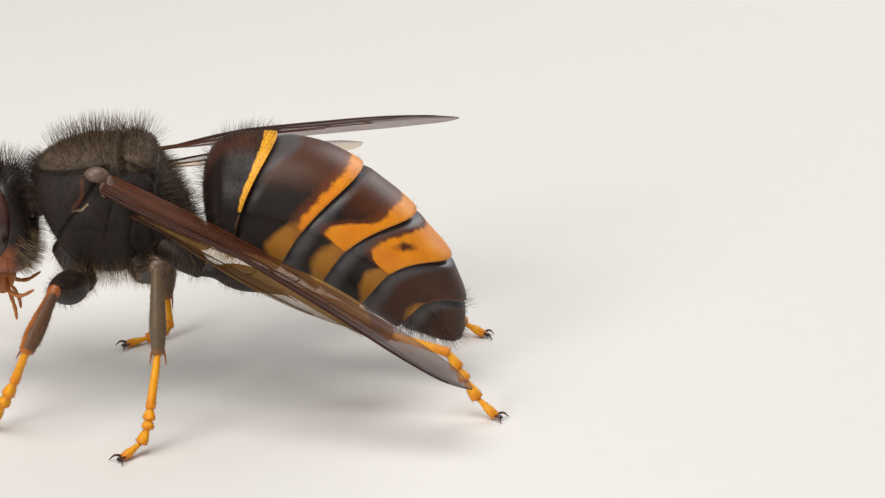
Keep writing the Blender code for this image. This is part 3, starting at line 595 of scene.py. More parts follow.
gaster = {
    "stations": [
        (5.28, 7.72, 5.32, 7.06, 0.42, 0), (4.86, 9.10, 5.48, 6.98, 1.45, 0), (4.76, 10.70, 5.62, 6.96, 2.10, 0),
        (5.02, 11.82, 5.76, 6.98, 2.50, 0), (5.55, 12.45, 5.88, 7, 2.72, 0), (6.35, 12.78, 6.02, 7.02, 2.88, 0.2),
        (8.35, 12.8, 6.4, 7.04, 3.08, 0.6), (10.6, 12.38, 7.45, 6.8, 3.22, 0.65),
        (12.55, 11.3, 8.57, 6.45, 3.28, 0.75), (14.02, 10.15, 9.65, 5.95, 3.2, 1),
        (15.2, 8.95, 10.7, 5.35, 3.05, 1.3), (16.15, 7.75, 11.8, 4.85, 2.82, 1.35),
        (16.95, 6.6, 12.9, 4.35, 2.52, 1.4), (17.45, 5.4, 13.9, 3.72, 2.1, 1.3),
        (17.7, 4.3, 14.75, 3.1, 1.7, 1.1), (17.72, 3.2, 15.9, 2.5, 1.05, 0.6), (17.6, 2.35, 17.1, 1.95, 0.32, 0.1)],
    "edges": [0, 6, 8, 10, 12, 14, 16], "roundness": 2.05,
    "tuck": 0.45,       # how far each ring reaches under the one before it, in stations
    "shown": 0.93,      # share of a ring's rows before its rear edge rolls in
    "sideLine": 97,     # angle from the back where the upper plates end, in degrees
    "plateStep": 0.055,
    "belly": [(3, 0), (6, 0.34), (9, 0.45), (12, 0.72), (14, 0.5), (16, 0)],   # how far the lower plates hang
    "root": (5.30, 0, 7.4), "tip": (17.5, 0, 2.05),
}
# Width of each ring's rear band in mm by angle from the back, in degrees
bands = {
    1: ("yellow", [(0, 0.55), (35, 0.42), (60, 0.27), (80, 0.22), (92, 0.12), (99, -0.4), (180, -1)]),
    2: ("orange", [(0, 0.60), (40, 0.50), (65, 0.44), (85, 0.42), (95, 0.25), (102, -0.3), (180, -1)]),
    3: ("orange", [(0, 0.95), (28, 0.88), (45, 0.50), (60, 0.50), (72, 1.10), (84, 1.55), (92, 1.35), (99, -0.2),
                   (180, -1)]),
    4: ("orange", [(0, 1.95), (25, 2.05), (50, 2.00), (70, 1.95), (82, 1.80), (91, 1.30), (98, 0.1), (101, -0.4),
                   (180, -1)]),
}
underBands = {2: (1.15, 118, 36), 3: (1.1, 118, 40), 4: (0.9, 120, 42), 5: (0.35, 125, 35)}


def ringPlaces(number, v):  # place along the stations, growth and how far along the shown part each row is
    first, last = gaster["edges"][number - 1:number + 1]
    start = first if number == 1 else first - gaster["tuck"]
    places = start + (last - start) * np.clip(v / gaster["shown"], 0, 1)
    part = (places - first) / (last - first)
    if number == 1:
        grow = -0.07 + 0.14 * smooth(0.2, 1, part)
    else:
        grow = np.where(part < 0, -0.20, -0.20 + 0.17 * smooth(0, 0.22, part) + 0.10 * smooth(0.3, 1, part))
    if number == 6:
        return places, grow * (1 - smooth(0.8, 1, part)), part
    turned = np.clip((v - gaster["shown"]) / (1 - gaster["shown"]), 0, 1)
    grow = grow - 0.055 * (1 - np.cos(turned * math.pi)) / 2 - 0.10 * smooth(0.5, 1, turned)
    back = 0.035 * np.sin(turned * math.pi) - 0.12 * smooth(0.5, 1, turned)
    return np.clip(places + back, 0, 16), grow, part


def sideAngle(u):  # degrees from the middle of the back, on either side
    return 360 * np.minimum(u, 1 - u)


def ringSurface(u, places, grow):
    return bodySurface(gaster["stations"], gaster["roundness"], places, 2 * math.pi * u, grow)


def drawTo(points, spot, share):  # draws points together to a spot where share is above 0
    share = np.maximum(share, 0)[:, None]
    return points + (np.array(spot) - points) * share


def ringShape(number):
    def shape(u, v):
        places, grow, part = ringPlaces(number, v)
        angle = sideAngle(u)
        plate = gaster["plateStep"] * (1 - smooth(gaster["sideLine"] - 2.5, gaster["sideLine"] + 0.5, angle))
        taper = 1 if number == 6 else smooth(0.0, 0.12, part)
        belly = np.interp(places, *zip(*gaster["belly"])) * smooth(95, 150, angle)
        points = ringSurface(u, places, grow + plate * taper + belly)
        if number == 6:
            return drawTo(points, gaster["tip"], (v - 0.97) / 0.03)
        if number == 1:
            return drawTo(points, gaster["root"], 1 - v / 0.02)
        return points
    return shape


def ringFields(number):
    def fields(u, v, points):
        places, grow, part = ringPlaces(number, v)
        first, last = gaster["edges"][number - 1:number + 1]
        toEdge = np.linalg.norm(points - ringSurface(u, np.full(len(u), last - 0.02), grow), axis=1)
        toBase = np.linalg.norm(points - ringSurface(u, np.full(len(u), first), grow), axis=1) * np.sign(part)
        angle = sideAngle(u)
        made = {key: np.full(len(u), -1.0) for key in ("yellow", "orange", "ochre", "bloom", "warm", "lip")}
        if number in bands:
            key, stops = bands[number]
            made[key] = np.interp(angle, *zip(*stops)) - toEdge
        if number == 4:  # a small dark mark on each side
            spot = np.hypot((angle - 55) / 9, (toEdge - 1.25) / 0.28)
            made["orange"] = np.minimum(made["orange"], (spot - 1) * 0.25)
        if number in underBands:
            width, middle, spread = underBands[number]
            made["ochre"] = width * (1 - ((angle - middle) / spread) ** 2) - toEdge
        if number == 1:
            made["warm"] = 0.2 - 1.2 * smooth(15, 55, angle)
        # painted sheen: how far the painted grey-blue reflection reaches from each ring's base
        elif number == 2:
            made["bloom"] = 1.3 - toBase - 1.3 * smooth(15, 75, angle)
        else:
            made["bloom"] = 0.42 + 0.35 * smooth(20, 90, angle) - np.abs(toBase)
        if number in (2, 3):  # a warm brown saddle on the back
            made["warm"] = 0.75 - 1.5 * smooth(35, 80, angle) - 0.5 * bell(toBase, 0, 0.7)
        elif number > 4:
            made["warm"] = 0.25 - 0.6 * bell(toBase, 0, 0.9)
        made["lip"] = 0.06 - toEdge
        return made
    return fields


rings = {}
for number in range(1, 7):
    piece = wrapSheet("gasterRing%d" % number, 200, 90, ringShape(number), ringFields(number), number in (1, 6))
    rings[number] = painted(piece, paint["banded"])
    settle(piece, "orange_band" if number == 4 else "abdomen_shell", "gaster_%d" % number)

stalk = limbSkin("waist", [(3.85, 0, 7.74), (4.4, 0, 7.62), (5.0, 0, 7.5), (5.6, 0, 7.42)],
                 [0.36, 0.42, 0.38, 0.50], 30, 28)
settle(painted(stalk, paint["darkLeg"]), "black_shell", "petiole")
print("abdomen made")

# Head

head = {
    "middle": (-5.05, 0.0, 8.50), "halfWidth": 2.62, "up": 2.62, "down": 2.72, "front": 2.15, "rear": 1.75,
    "slope": 0.45, "dent": 1.55, "roundness": 2.2,
    "clypeus": (7.05, 1.25, 1.35, 0.34),    # height of its middle, half width, half height, how far it stands out
    "sockets": (-7.05, 0.62, 9.05),
}


def headShape(u, v):
    polar = math.pi * v
    angle = 2 * math.pi * u
    reach = np.sin(polar)
    front = -head["front"] * np.maximum(0, 1 - reach ** 2.3) ** (1 / 2.3)
    rear = head["rear"] * np.sqrt(np.maximum(0, 1 - reach ** 2.4)) - head["dent"] * np.exp(-(reach / 0.38) ** 2)
    x = np.where(v <= 0.5, front, rear)
    rise = powerCosine(angle, head["roundness"])
    side = powerCosine(angle - math.pi / 2, head["roundness"])
    half = head["halfWidth"] * (1 - 0.16 * np.maximum(0, -rise) ** 1.5)
    tall = np.where(rise > 0, head["up"], head["down"])
    y, z = half * side * reach, head["middle"][2] + tall * rise * reach
    height, wide, high, out = head["clypeus"]
    swell = out * np.exp(-(y / wide) ** 4 - ((z - height) / high) ** 4)
    swell = swell - 0.10 * bell(plateEdge(y, z), 0, 0.05) - 0.07 * bell(y, 0, 0.06) * smooth(9.3, 9.8, z)
    swell = swell + 0.12 * bell(np.hypot(y, z - 8.75), 0, 0.30)
    for spot in (-1, 1):
        swell = swell - 0.16 * bell(np.hypot(y - spot * head["sockets"][1], z - head["sockets"][2]), 0, 0.26)
    swell = np.where(v <= 0.5, swell, 0)
    back = x * (1 - np.where(v > 0.5, head["slope"] * reach * np.maximum(0, rise), 0))
    return np.stack([head["middle"][0] + back - swell, y, z], -1)


def plateEdge(y, z):  # distance from the clypeus plate's outline on the face
    outline = [(0, 8.35), (0.75, 8.15), (1.22, 7.35), (1.30, 6.55), (0.85, 5.98), (0, 5.85)]
    return lineDistance(np.abs(y), z, outline)


def headFields(u, v, points):
    x, y, z = points.T
    front = np.minimum(9.75 - z, -5.35 - x) * 0.8
    cheek = np.minimum(7.75 + 0.35 * (-4.2 - x) - z, -4.35 - x)
    face = np.maximum(front, cheek)
    return {"face": face, "seam": np.where(x < -5.5, 0.035 - plateEdge(y, z), -1)}


headSkin = painted(wrapSheet("headShell", 200, 170, headShape, headFields), paint["face"])
sockets = []
for word, side in sides.items():
    clearSelection()
    bpy.ops.mesh.primitive_torus_add(major_segments=40, minor_segments=14, major_radius=0.30, minor_radius=0.07)
    ringPiece = bpy.context.object
    turn = Matrix.Rotation(math.radians(-72), 3, "Y")
    points = readPoints(ringPiece.data) @ np.array(turn).T
    writePoints(ringPiece.data, toFrame(points + np.array([-6.98, 0.66 * side, 9.12])))
    ringPiece.data.shade_smooth()
    sockets.append(painted(ringPiece, paint["darkLeg"]))
headPiece = joined("headShell", [headSkin] + sockets)
settle(headPiece, "orange_face", "head")

for word, side in sides.items():
    piece = eyeForm(side, 120, 90)
    points = readPoints(piece.data)
    height = piece.data.attributes.new("height", "FLOAT", "POINT")
    height.data.foreach_set("value", smooth(8.4, 10.9, points[:, 2]))
    writePoints(piece.data, toFrame(points))
    piece.data.shade_smooth()
    piece.name = piece.data.name = "eye" + word.capitalize()
    painted(piece, paint["eye"])
    settle(piece, "compound_eye", "eye_" + word)

ocelli = joined("smallEyes", [painted(dome("ocellus", middle, (0.17, 0.16, 0.17)), paint["eye"]) for middle in
                              ((-5.95, 0, 10.92), (-5.60, 0.36, 11.05), (-5.60, -0.36, 11.05))])
settle(ocelli, "compound_eye")

mouth = {
    "jaw": [(-5.95, 1.42, 6.35), (-6.15, 1.42, 5.45), (-6.45, 1.10, 4.60), (-6.55, 0.62, 4.00)],
    "jawRadii": [0.60, 0.64, 0.50, 0.30],
    "teeth": [((-6.62, 0.74, 4.25), (-6.66, 0.32, 3.94)), ((-6.60, 0.62, 4.05), (-6.58, 0.16, 3.72)),
              ((-6.50, 0.80, 4.52), (-6.58, 0.40, 4.36))],
    "lip": [(-5.35, 0, 6.3), (-5.45, 0, 5.3), (-5.55, 0, 4.75)], "lipRadii": [0.72, 0.60, 0.32],
    "palps": [[(-5.25, 0.35, 5.6), (-4.95, 0.95, 4.95), (-4.40, 1.15, 4.85), (-3.75, 1.30, 5.20)],
              [(-5.35, 0.25, 5.2), (-5.00, 0.55, 4.55), (-4.80, 0.75, 3.95), (-4.75, 0.80, 3.45)]],
    "palpRadius": 0.10,
}


def palpWave(t):  # four joints, pinched between
    return 0.72 + 0.36 * np.abs(np.sin(4 * math.pi * t)) ** 0.55


for word, side in sides.items():
    jaw = limbSkin("jaw", mirroredLine(mouth["jaw"], side), mouth["jawRadii"], 40, 32, 0.72)
    teeth = [painted(limbSkin("tooth", mirroredLine([root, tip], side), [0.20, 0.07], 8, 12), paint["claw"])
             for root, tip in mouth["teeth"]]
    piece = joined("mandible" + word.capitalize(), [painted(jaw, paint["jaw"])] + teeth)
    settle(piece, "orange_face", "mandible_" + word)

lip = painted(limbSkin("lip", mouth["lip"], mouth["lipRadii"], 24, 28, 0.8), paint["palp"])
palps = [painted(limbSkin("palp", mirroredLine(line, side), [mouth["palpRadius"]] * 3 + [0.06], 48, 14,
                          wave=palpWave), paint["palp"]) for line in mouth["palps"] for side in (-1, 1)]
settle(joined("mouthParts", [lip] + palps), "orange_face", "mouthparts")

feeler = {
    "scape": [(-6.75, 0.62, 9.05), (-7.45, 1.05, 9.55), (-8.35, 1.80, 10.30)], "scapeRadii": [0.20, 0.24, 0.29],
    "whip": [(-8.35, 1.80, 10.30), (-9.45, 2.60, 10.55), (-10.70, 3.55, 9.95), (-11.55, 4.35, 8.75),
             (-12.00, 4.95, 7.35)],
    "whipRadii": [0.22, 0.27, 0.29, 0.27, 0.17], "joints": 11,
}


def whipWave(t):  # ring joints along the feeler
    place = (t * feeler["joints"]) % 1.0
    return 1 - 0.16 * (bell(place, 0.0, 0.10) + bell(place, 1.0, 0.10))


for word, side in sides.items():
    title = word.capitalize()
    scape = limbSkin("feelerBase" + title, mirroredLine(feeler["scape"], side), feeler["scapeRadii"], 30)
    settle(painted(scape, paint["feelerBase"]), "feeler", "antenna_%s_scape" % word)
    whip = limbSkin("feelerWhip" + title, mirroredLine(feeler["whip"], side), feeler["whipRadii"], 220, 18,
                    wave=whipWave)
    settle(painted(whip, paint["feeler"]), "feeler", "antenna_%s_flagellum" % word)

neck = limbSkin("neckFold", [(-5.0, 0, 9.3), (-4.3, 0, 9.4), (-3.2, 0, 9.5)], [0.72, 0.78, 0.80], 40, 36,
                wave=lambda t: 1 + 0.05 * np.sin(t * 38))
settle(painted(neck, paint["skinFold"]), "black_shell", "neck")
print("head made")

# Wings

wings = {
    "forewing": [(0.0, 0.40, -0.40), (0.08, 0.58, -0.62), (0.20, 0.88, -0.85), (0.40, 1.00, -0.92),
                 (0.62, 1.15, -0.98), (0.80, 1.25, -0.98), (0.92, 0.98, -0.82), (1.0, 0.34, -0.46)],
    "hindwing": [(0.0, 0.26, -0.24), (0.12, 0.40, -0.36), (0.30, 0.92, -0.72), (0.50, 1.30, -1.30),
                 (0.72, 1.30, -1.45), (0.88, 1.00, -1.15), (0.96, 0.68, -0.80), (1.0, 0.30, -0.42)],
    # length, root, sweep and droop, the tip's further drop, and the outer edge's tilt at the tip
    "forewing_left": (20.2, (0.35, -2.95, 11.67), -19.75, 21.8, 1.0, 4.0),
    "forewing_right": (20.2, (0.35, 2.35, 11.40), 32.0, 4.0, 0.3, 4.0),
    "hindwing_left": (12.9, (1.45, -2.90, 9.72), -16.2, 19.8, 0.0, 22.0),
    "hindwing_right": (12.9, (1.45, 2.20, 10.42), 32.0, 3.7, 0.0, 4.0),
    "thickness": 0.05, "tipStart": 0.93,
}
# Veins as places across (0 at the front edge) and along the wing, with a radius in mm
veins = {
    "forewing": [([(0.06, 0.0), (0.05, 0.25), (0.05, 0.5), (0.06, 0.66), (0.03, 0.95)], 0.085),
                 ([(0.16, 0.0), (0.13, 0.3), (0.10, 0.52), (0.10, 0.66)], 0.075),
                 ([(0.14, 0.30), (0.20, 0.45), (0.26, 0.60), (0.22, 0.78), (0.10, 0.88)], 0.05),
                 ([(0.40, 0.0), (0.38, 0.25), (0.44, 0.45), (0.46, 0.62), (0.48, 0.74)], 0.05),
                 ([(0.62, 0.0), (0.66, 0.22), (0.70, 0.42), (0.72, 0.58)], 0.045),
                 ([(0.20, 0.45), (0.33, 0.47), (0.44, 0.45)], 0.04),
                 ([(0.26, 0.60), (0.37, 0.62), (0.46, 0.62)], 0.04),
                 ([(0.22, 0.72), (0.34, 0.74), (0.48, 0.74)], 0.04),
                 ([(0.38, 0.25), (0.52, 0.28), (0.67, 0.24)], 0.04),
                 ([(0.45, 0.52), (0.58, 0.53), (0.71, 0.50)], 0.04),
                 ([(0.85, 0.02), (0.90, 0.25), (0.93, 0.45)], 0.035)],
    "hindwing": [([(0.05, 0.0), (0.05, 0.3), (0.06, 0.55), (0.03, 0.8)], 0.065),
                 ([(0.40, 0.0), (0.36, 0.3), (0.30, 0.5), (0.22, 0.72)], 0.045),
                 ([(0.60, 0.0), (0.66, 0.3), (0.66, 0.5), (0.70, 0.66)], 0.045),
                 ([(0.30, 0.5), (0.48, 0.52), (0.66, 0.5)], 0.04), ([(0.85, 0.05), (0.90, 0.3)], 0.035)],
}


def wingPoints(name, across, run):  # across: 0 outer edge, 1 inner edge; run: 0 root, 1 tip
    outline = wings[name.split("_")[0]]
    length, root, sweep, droop, drop, tilt = wings[name]
    angle, fall = math.radians(sweep), math.radians(droop)
    ahead = np.array([math.cos(fall) * math.cos(angle), math.cos(fall) * math.sin(angle), -math.sin(fall)])
    side = 1 if sweep > 0 else -1
    flatOuter = np.array([-math.sin(angle) * side, math.cos(angle) * side, 0.0])
    flatUp = np.cross(ahead, flatOuter) * side
    lean = (math.radians(tilt) * run)[:, None]
    outer = flatOuter * np.cos(lean) - flatUp * np.sin(lean)
    up = flatUp * np.cos(lean) + flatOuter * np.sin(lean)
    axis = np.array(root) + ahead * (length * run)[:, None] - np.array([0, 0, drop]) * (run ** 3)[:, None]
    place = np.interp(run, [s[0] for s in outline], range(len(outline)))
    edges = along([s[1:] for s in outline], place)
    tip = np.clip((run - wings["tipStart"]) / (1 - wings["tipStart"]), 0, 1)
    curve = np.sqrt(1 - 0.97 * tip ** 2)
    reach = edges.sum(axis=1) / 2 + (edges[:, 1] - edges[:, 0]) * (across - 0.5) * curve
    pleats = 0.06 * np.sin(across * 11 + 0.6) * smooth(0, 0.15, run) * (1 - smooth(0.7, 1, run))
    if name.startswith("fore"):  # the root hangs down along its front edge
        pleats = pleats - 0.75 * (1 - across) ** 1.6 * (1 - smooth(0.02, 0.42, run))
    return axis + outer * reach[:, None] + up * pleats[:, None], up


def wingTube(name, line, radius):
    steps = np.linspace(0, len(line) - 1, 8 * (len(line) - 1) + 1)
    across, run = along(line, steps).T
    points, up = wingPoints(name, np.clip(across, 0.01, 0.99), np.clip(run, 0, 1))
    thin = np.linspace(1, 0.45, 4)
    return painted(limbSkin("vein", list(points[::2]), list(radius * thin), len(steps), 8), paint["vein"])


for name in ("forewing_left", "forewing_right", "hindwing_left", "hindwing_right"):
    kind = name.split("_")[0]
    sheet = wrapSheet("sheet", 40, 140, lambda u, v: wingPoints(name, u, v)[0],
                      lambda u, v, points: {"front": (0.34 if kind == "forewing" else 0.10) - u,
                                            "reach": v, "cloudy": np.full(len(u), float(kind == "forewing"))},
                      closed=False)
    thick = sheet.modifiers.new("thickness", "SOLIDIFY")
    thick.thickness = wings["thickness"] / 1000
    thick.offset = 0
    clearSelection()
    bpy.context.view_layer.objects.active = sheet
    bpy.ops.object.modifier_apply(modifier=thick.name)
    painted(sheet, paint["wing"])
    parts = [wingTube(name, line, radius) for line, radius in veins[kind]]
    settle(joined(name.replace("_l", "L").replace("_r", "R"), [sheet] + parts), "wing", name)
print("wings made")

# Legs

legs = {
    "front_left": [(-1.90, -1.15, 7.5), (-1.05, -1.90, 5.80), (-2.10, -6.0, 6.90), (-3.35, -7.3, 4.40),
                   (-4.05, -7.2, 2.70), (-4.65, -7.0, 1.50), (-5.15, -6.8, 0.72), (-6.15, -6.6, 0.20)],
    "middle_left": [(1.35, -1.20, 7.4), (1.80, -1.95, 6.20), (3.00, -6.9, 8.50), (3.03, -8.2, 4.66),
                    (2.68, -9.2, 2.20), (2.55, -9.5, 1.30), (2.25, -9.7, 0.62), (1.45, -10.5, 0.20)],
    "hind_left": [(3.05, -1.25, 7.7), (4.65, -2.05, 6.65), (9.10, -3.9, 6.25), (13.90, -3.9, 3.90),
                  (16.90, -4.5, 3.13), (17.70, -4.8, 1.85), (18.30, -5.1, 1.00), (19.20, -5.5, 0.20)],
    "front_right": [(-1.90, 1.15, 7.5), (-1.10, 1.90, 5.80), (-3.90, 5.5, 8.00), (-7.20, 7.3, 6.10),
                    (-8.90, 7.5, 3.60), (-9.60, 7.55, 2.10), (-10.10, 7.6, 1.00), (-11.10, 7.7, 0.20)],
    "middle_right": [(1.35, 1.20, 7.4), (1.80, 1.95, 6.20), (2.50, 7.0, 5.70), (2.15, 6.0, 2.10),
                     (2.30, 5.3, 0.62), (1.75, 4.9, 0.34), (1.25, 4.6, 0.30), (0.25, 4.0, 0.20)],
    "hind_right": [(3.05, 1.25, 7.7), (4.65, 2.05, 6.65), (9.60, 6.0, 7.55), (13.80, 6.5, 4.60),
                   (16.30, 5.8, 2.70), (17.10, 5.6, 1.60), (17.70, 5.5, 0.80), (18.75, 5.4, 0.20)],
}
# Radii: coxa, thigh from trochanter to knee, shin, foot
legRadii = {
    "front": ((0.90, 0.78, 0.58), (0.46, 0.40, 0.72, 0.86, 0.78, 0.60, 0.34),
              (0.26, 0.34, 0.43, 0.46, 0.37), 0.29),
    "middle": ((0.85, 0.72, 0.50), (0.40, 0.34, 0.52, 0.62, 0.56, 0.46, 0.36),
               (0.27, 0.33, 0.38, 0.40, 0.30), 0.25),
    "hind": ((0.95, 0.85, 0.55), (0.42, 0.36, 0.58, 0.64, 0.54, 0.44, 0.34),
             (0.28, 0.40, 0.52, 0.58, 0.44), 0.28),
}
spurs = {"count": {"front": 1, "middle": 2, "hind": 2}, "length": 0.95, "radius": 0.075, "root": 0.35,
         "lean": 0.75, "spread": 0.22}
claws = {"length": 0.50, "radius": 0.075, "spread": (0.08, 0.30, 0.48), "pad": (0.16, 0.14, 0.10)}


def spurPieces(knee, ankle, radius, count):
    run = unit(ankle - knee)
    first = runFrames(np.array([knee, ankle]))[1][0]
    made = []
    for sign in (1, -1)[:count]:
        lean = first * spurs["lean"] * sign
        root = ankle - run * spurs["root"] + lean * radius * 0.7
        tip = ankle + run * (spurs["length"] - spurs["root"]) + lean * (radius + spurs["spread"])
        made.append(painted(limbSkin("spur", [root, (root + tip) / 2 + lean * 0.06, tip],
                                     [spurs["radius"], spurs["radius"] * 0.7, 0.02], 14, 10), paint["knee"]))
    return made


def footJoints(joints):  # five joints: the second stretch holds two of them
    points = [np.array(p, float) for p in joints]
    return [points[0], points[1], points[1] * 0.45 + points[2] * 0.55, points[2], points[3], points[4]]


def footPieces(joints, radius):
    made = []
    for number, (start, end) in enumerate(zip(joints, joints[1:])):
        swell = [0.62, 0.74, 0.80, 0.86, 0.98] if number == 0 else [0.42, 0.66, 0.92, 1.18, 1.26]
        if number == 4:
            swell = [0.40, 0.52, 0.70, 0.92, 0.84]
        start = start - unit(end - start) * 0.08
        joint = limbSkin("joint", [start, end], [radius * s for s in swell], 18, 18, 0.88, (0.5, 0.28))
        made.append(painted(joint, paint["foot"]))
    return made


def clawPieces(heel, toe):
    run = toe - heel
    run[2] = 0
    run = unit(run)
    across = np.array([-run[1], run[0], 0])
    made = []
    for sign in (-1, 1):
        near, middle, far = (across * sign * spread for spread in claws["spread"])
        root = toe - run * 0.10 + near
        bend = toe + run * claws["length"] * 0.55 + middle + np.array([0, 0, 0.10])
        tip = toe + run * claws["length"] + far + np.array([0, 0, -0.14])
        made.append(painted(limbSkin("claw", [root, bend, tip], [claws["radius"], claws["radius"] * 0.75, 0.02],
                                     20, 12), paint["claw"]))
    pad = dome("pad", toe + run * 0.22 + np.array([0, 0, -0.03]), claws["pad"])
    return made + [painted(pad, paint["darkLeg"])]


furred = {"coxa": [], "thigh": [], "shin": [], "foot": []}
for name, points in legs.items():
    pair, word = name.split("_")
    label = pair.capitalize() + word.capitalize()
    coxaRadii, thighRadii, shinRadii, footRadius = legRadii[pair]
    points = [np.array(p, float) for p in points]
    hip, socket, knee, ankle = points[:4]
    coxa = limbSkin("coxa" + label, [hip, (hip + socket) / 2, socket], coxaRadii, 24, 28)
    settle(painted(coxa, paint["darkLeg"]), "black_shell", "coxa_" + name)
    thigh = painted(limbSkin("thigh", [socket, knee], thighRadii, 40, 28), paint["darkLeg"])
    cap = painted(limbSkin("cap", [knee + (socket - knee) * 0.07, knee], [thighRadii[-1] * 1.03] * 2, 10, 24),
                  paint["knee" if pair == "front" else "duskyKnee"])
    start = knee + (ankle - knee) * 0.03
    shin = painted(limbSkin("shin", [start, ankle], shinRadii, 40, 26),
                   paint["frontTibia" if pair == "front" else "olive"])
    joints = footJoints(points[3:])
    footParts = footPieces(joints, footRadius)
    horns = clawPieces(joints[-2], joints[-1])
    settle(joined("thigh" + label, [thigh, cap]), "black_shell", "femur_" + name)
    shinParts = [shin] + spurPieces(knee, ankle, shinRadii[-1], spurs["count"][pair])
    settle(joined("shin" + label, shinParts), "brown_leg", "tibia_" + name)
    foot = settle(joined("foot" + label, footParts), "yellow_foot", "tarsus_" + name)
    settle(joined("claws" + label, horns), "brown_leg")
    for limb, piece in (("coxa", coxa), ("thigh", thigh), ("shin", shin), ("foot", foot)):
        furred[limb].append(piece)
print("legs made")

# Hair: each coat is one mesh of tapered three-sided hairs

hairColour = {"black": (0.010, 0.008, 0.007), "brown": (0.056, 0.030, 0.016), "gold": (0.25, 0.14, 0.055),
              "pale": (0.36, 0.25, 0.13), "bronze": (0.155, 0.106, 0.064)}


def scatter(skin, count, weight, rng):  # random roots on a skin, thicker where weight is high
    mesh = skin.data
    mesh.calc_loop_triangles()
    corners = meshValues(mesh.loop_triangles, "vertices", 3, int)
    loops = meshValues(mesh.loop_triangles, "loops", 3, int)
    points = readPoints(mesh)
    normals = meshValues(mesh.vertices, "normal", 3)
    uv = meshValues(mesh.uv_layers[0].data, "uv", 2)
    a, b, c = (points[corners[:, k]] for k in range(3))
    area = np.linalg.norm(np.cross(b - a, c - a), axis=1) / 2
    chance = area * np.maximum(weight((a + b + c) / 3 * 1000 + shift, unit(normals[corners].sum(axis=1))), 0)
    picked = rng.choice(len(area), count, p=chance / chance.sum())
    r, s = rng.random(count), rng.random(count)
    r, s = np.where(r + s > 1, 1 - r, r), np.where(r + s > 1, 1 - s, s)
    share = np.stack([1 - r - s, r, s], -1)[:, :, None]
    return ((points[corners[picked]] * share).sum(axis=1) * 1000 + shift,
            unit((normals[corners[picked]] * share).sum(axis=1)), (uv[loops[picked]] * share).sum(axis=1))


def growCoat(name, patches, slot, seed):
    rng = np.random.default_rng(seed)
    grown = []
    for number, patch in enumerate(patches):
        roots, normals, uv = scatter(patch["skin"], patch["count"], patch["where"], rng)
        length = patch["length"] * rng.uniform(0.6, 1.15, patch["count"])
        lean = np.array(patch["lean"], float)
        grow = unit(normals + lean + rng.normal(0, patch["stray"], (patch["count"], 3)))
        bend = unit(grow + lean * 0.9 + rng.normal(0, 0.12, (patch["count"], 3)))
        colour = patch["colour"](roots, normals, rng)
        tile = (number % 4, number // 4)
        uv = (np.array(tile) + 0.02 + uv * 0.96) / 4
        grown.append((roots, grow, bend, length, np.full(patch["count"], patch["width"]), colour, uv))
    roots, grow, bend, length, width, colour, uv = (np.concatenate(part) for part in zip(*grown))
    count = len(roots)
    side = unit(np.cross(grow, rng.normal(0, 1, (count, 3))))
    other = np.cross(grow, side)
    rows = []
    for t, share in ((0.0, 1.0), (0.4, 0.78), (0.75, 0.48)):
        centre = roots + (grow * t + (bend - grow) * t * t * 0.6) * length[:, None]
        for turn in (0, 2 * math.pi / 3, 4 * math.pi / 3):
            rows.append(centre + (side * math.cos(turn) + other * math.sin(turn)) * (width * share / 2)[:, None])
    rows.append(roots + (grow + (bend - grow) * 0.6) * length[:, None])
    points = np.stack(rows, axis=1)  # ten points to a hair
    points[..., 2] = np.maximum(points[..., 2], 0)
    pattern = []
    for row in (0, 3):
        for k in range(3):
            a, b, c, d = row + k, row + (k + 1) % 3, row + 3 + (k + 1) % 3, row + 3 + k
            pattern += [(a, b, c), (a, c, d)]
    pattern += [(6, 7, 9), (7, 8, 9), (8, 6, 9)]
    pattern = np.array(pattern)
    faces = (np.arange(count)[:, None, None] * 10 + pattern[None]).reshape(-1, 3)
    mesh = bpy.data.meshes.new(name)
    mesh.vertices.add(count * 10)
    mesh.vertices.foreach_set("co", toFrame(points.reshape(-1, 3)).ravel())
    mesh.loops.add(len(faces) * 3)
    mesh.loops.foreach_set("vertex_index", faces.ravel())
    mesh.polygons.add(len(faces))
    mesh.polygons.foreach_set("loop_start", np.arange(0, len(faces) * 3, 3))
    mesh.update(calc_edges=True)
    tint = mesh.attributes.new("tint", "FLOAT_COLOR", "POINT")
    shades = np.concatenate([colour, np.ones((count, 1))], axis=1)
    tint.data.foreach_set("color", np.repeat(shades, 10, axis=0).ravel())
    patchUv = np.array([(0.0015 * math.cos(2.1 * k), 0.0015 * math.sin(2.1 * k)) for k in range(10)])
    layer = mesh.uv_layers.new(name="OFBake")
    perPoint = (uv[:, None] + patchUv[None]).reshape(-1, 2)
    layer.data.foreach_set("uv", perPoint[faces.ravel()].ravel())
    mesh.polygons.foreach_set("use_smooth", np.ones(len(faces), bool))
    mesh.update()
    coat = bpy.data.objects.new(name, mesh)
    bpy.context.scene.collection.objects.link(coat)
    painted(coat, paint["hair"])
    return settle(coat, slot)


def shades(*names, spread=0.25):
    def pick(roots, normals, rng):
        table = np.array([hairColour[n] for n in names])
        chosen = table[rng.integers(0, len(names), len(roots))]
        return chosen * rng.uniform(1 - spread, 1 + spread, (len(roots), 1))
    return pick


def everywhere(points, normals):
    return np.ones(len(points))


def flankTint(roots, normals, rng):  # dark on top, golden below
    low = smooth(9.4, 7.4, roots[:, 2])
    low = np.where(rng.random(len(roots)) < low, 1.0, 0.0)[:, None]
    dark, light = np.array(hairColour["brown"]), np.array(hairColour["gold"])
    return (dark * (1 - low) + light * low) * rng.uniform(0.6, 1.3, (len(roots), 1))


lessHair = 1.0


def tuft(skin, count, length, lean, width, where, colour, stray=0.18):
    # A patch: a skin, a number of hairs, their length, lean and width, where they grow, colours and disorder
    return {"skin": skin, "count": int(count * lessHair), "length": length, "lean": lean, "width": width,
            "where": where, "colour": colour, "stray": stray}


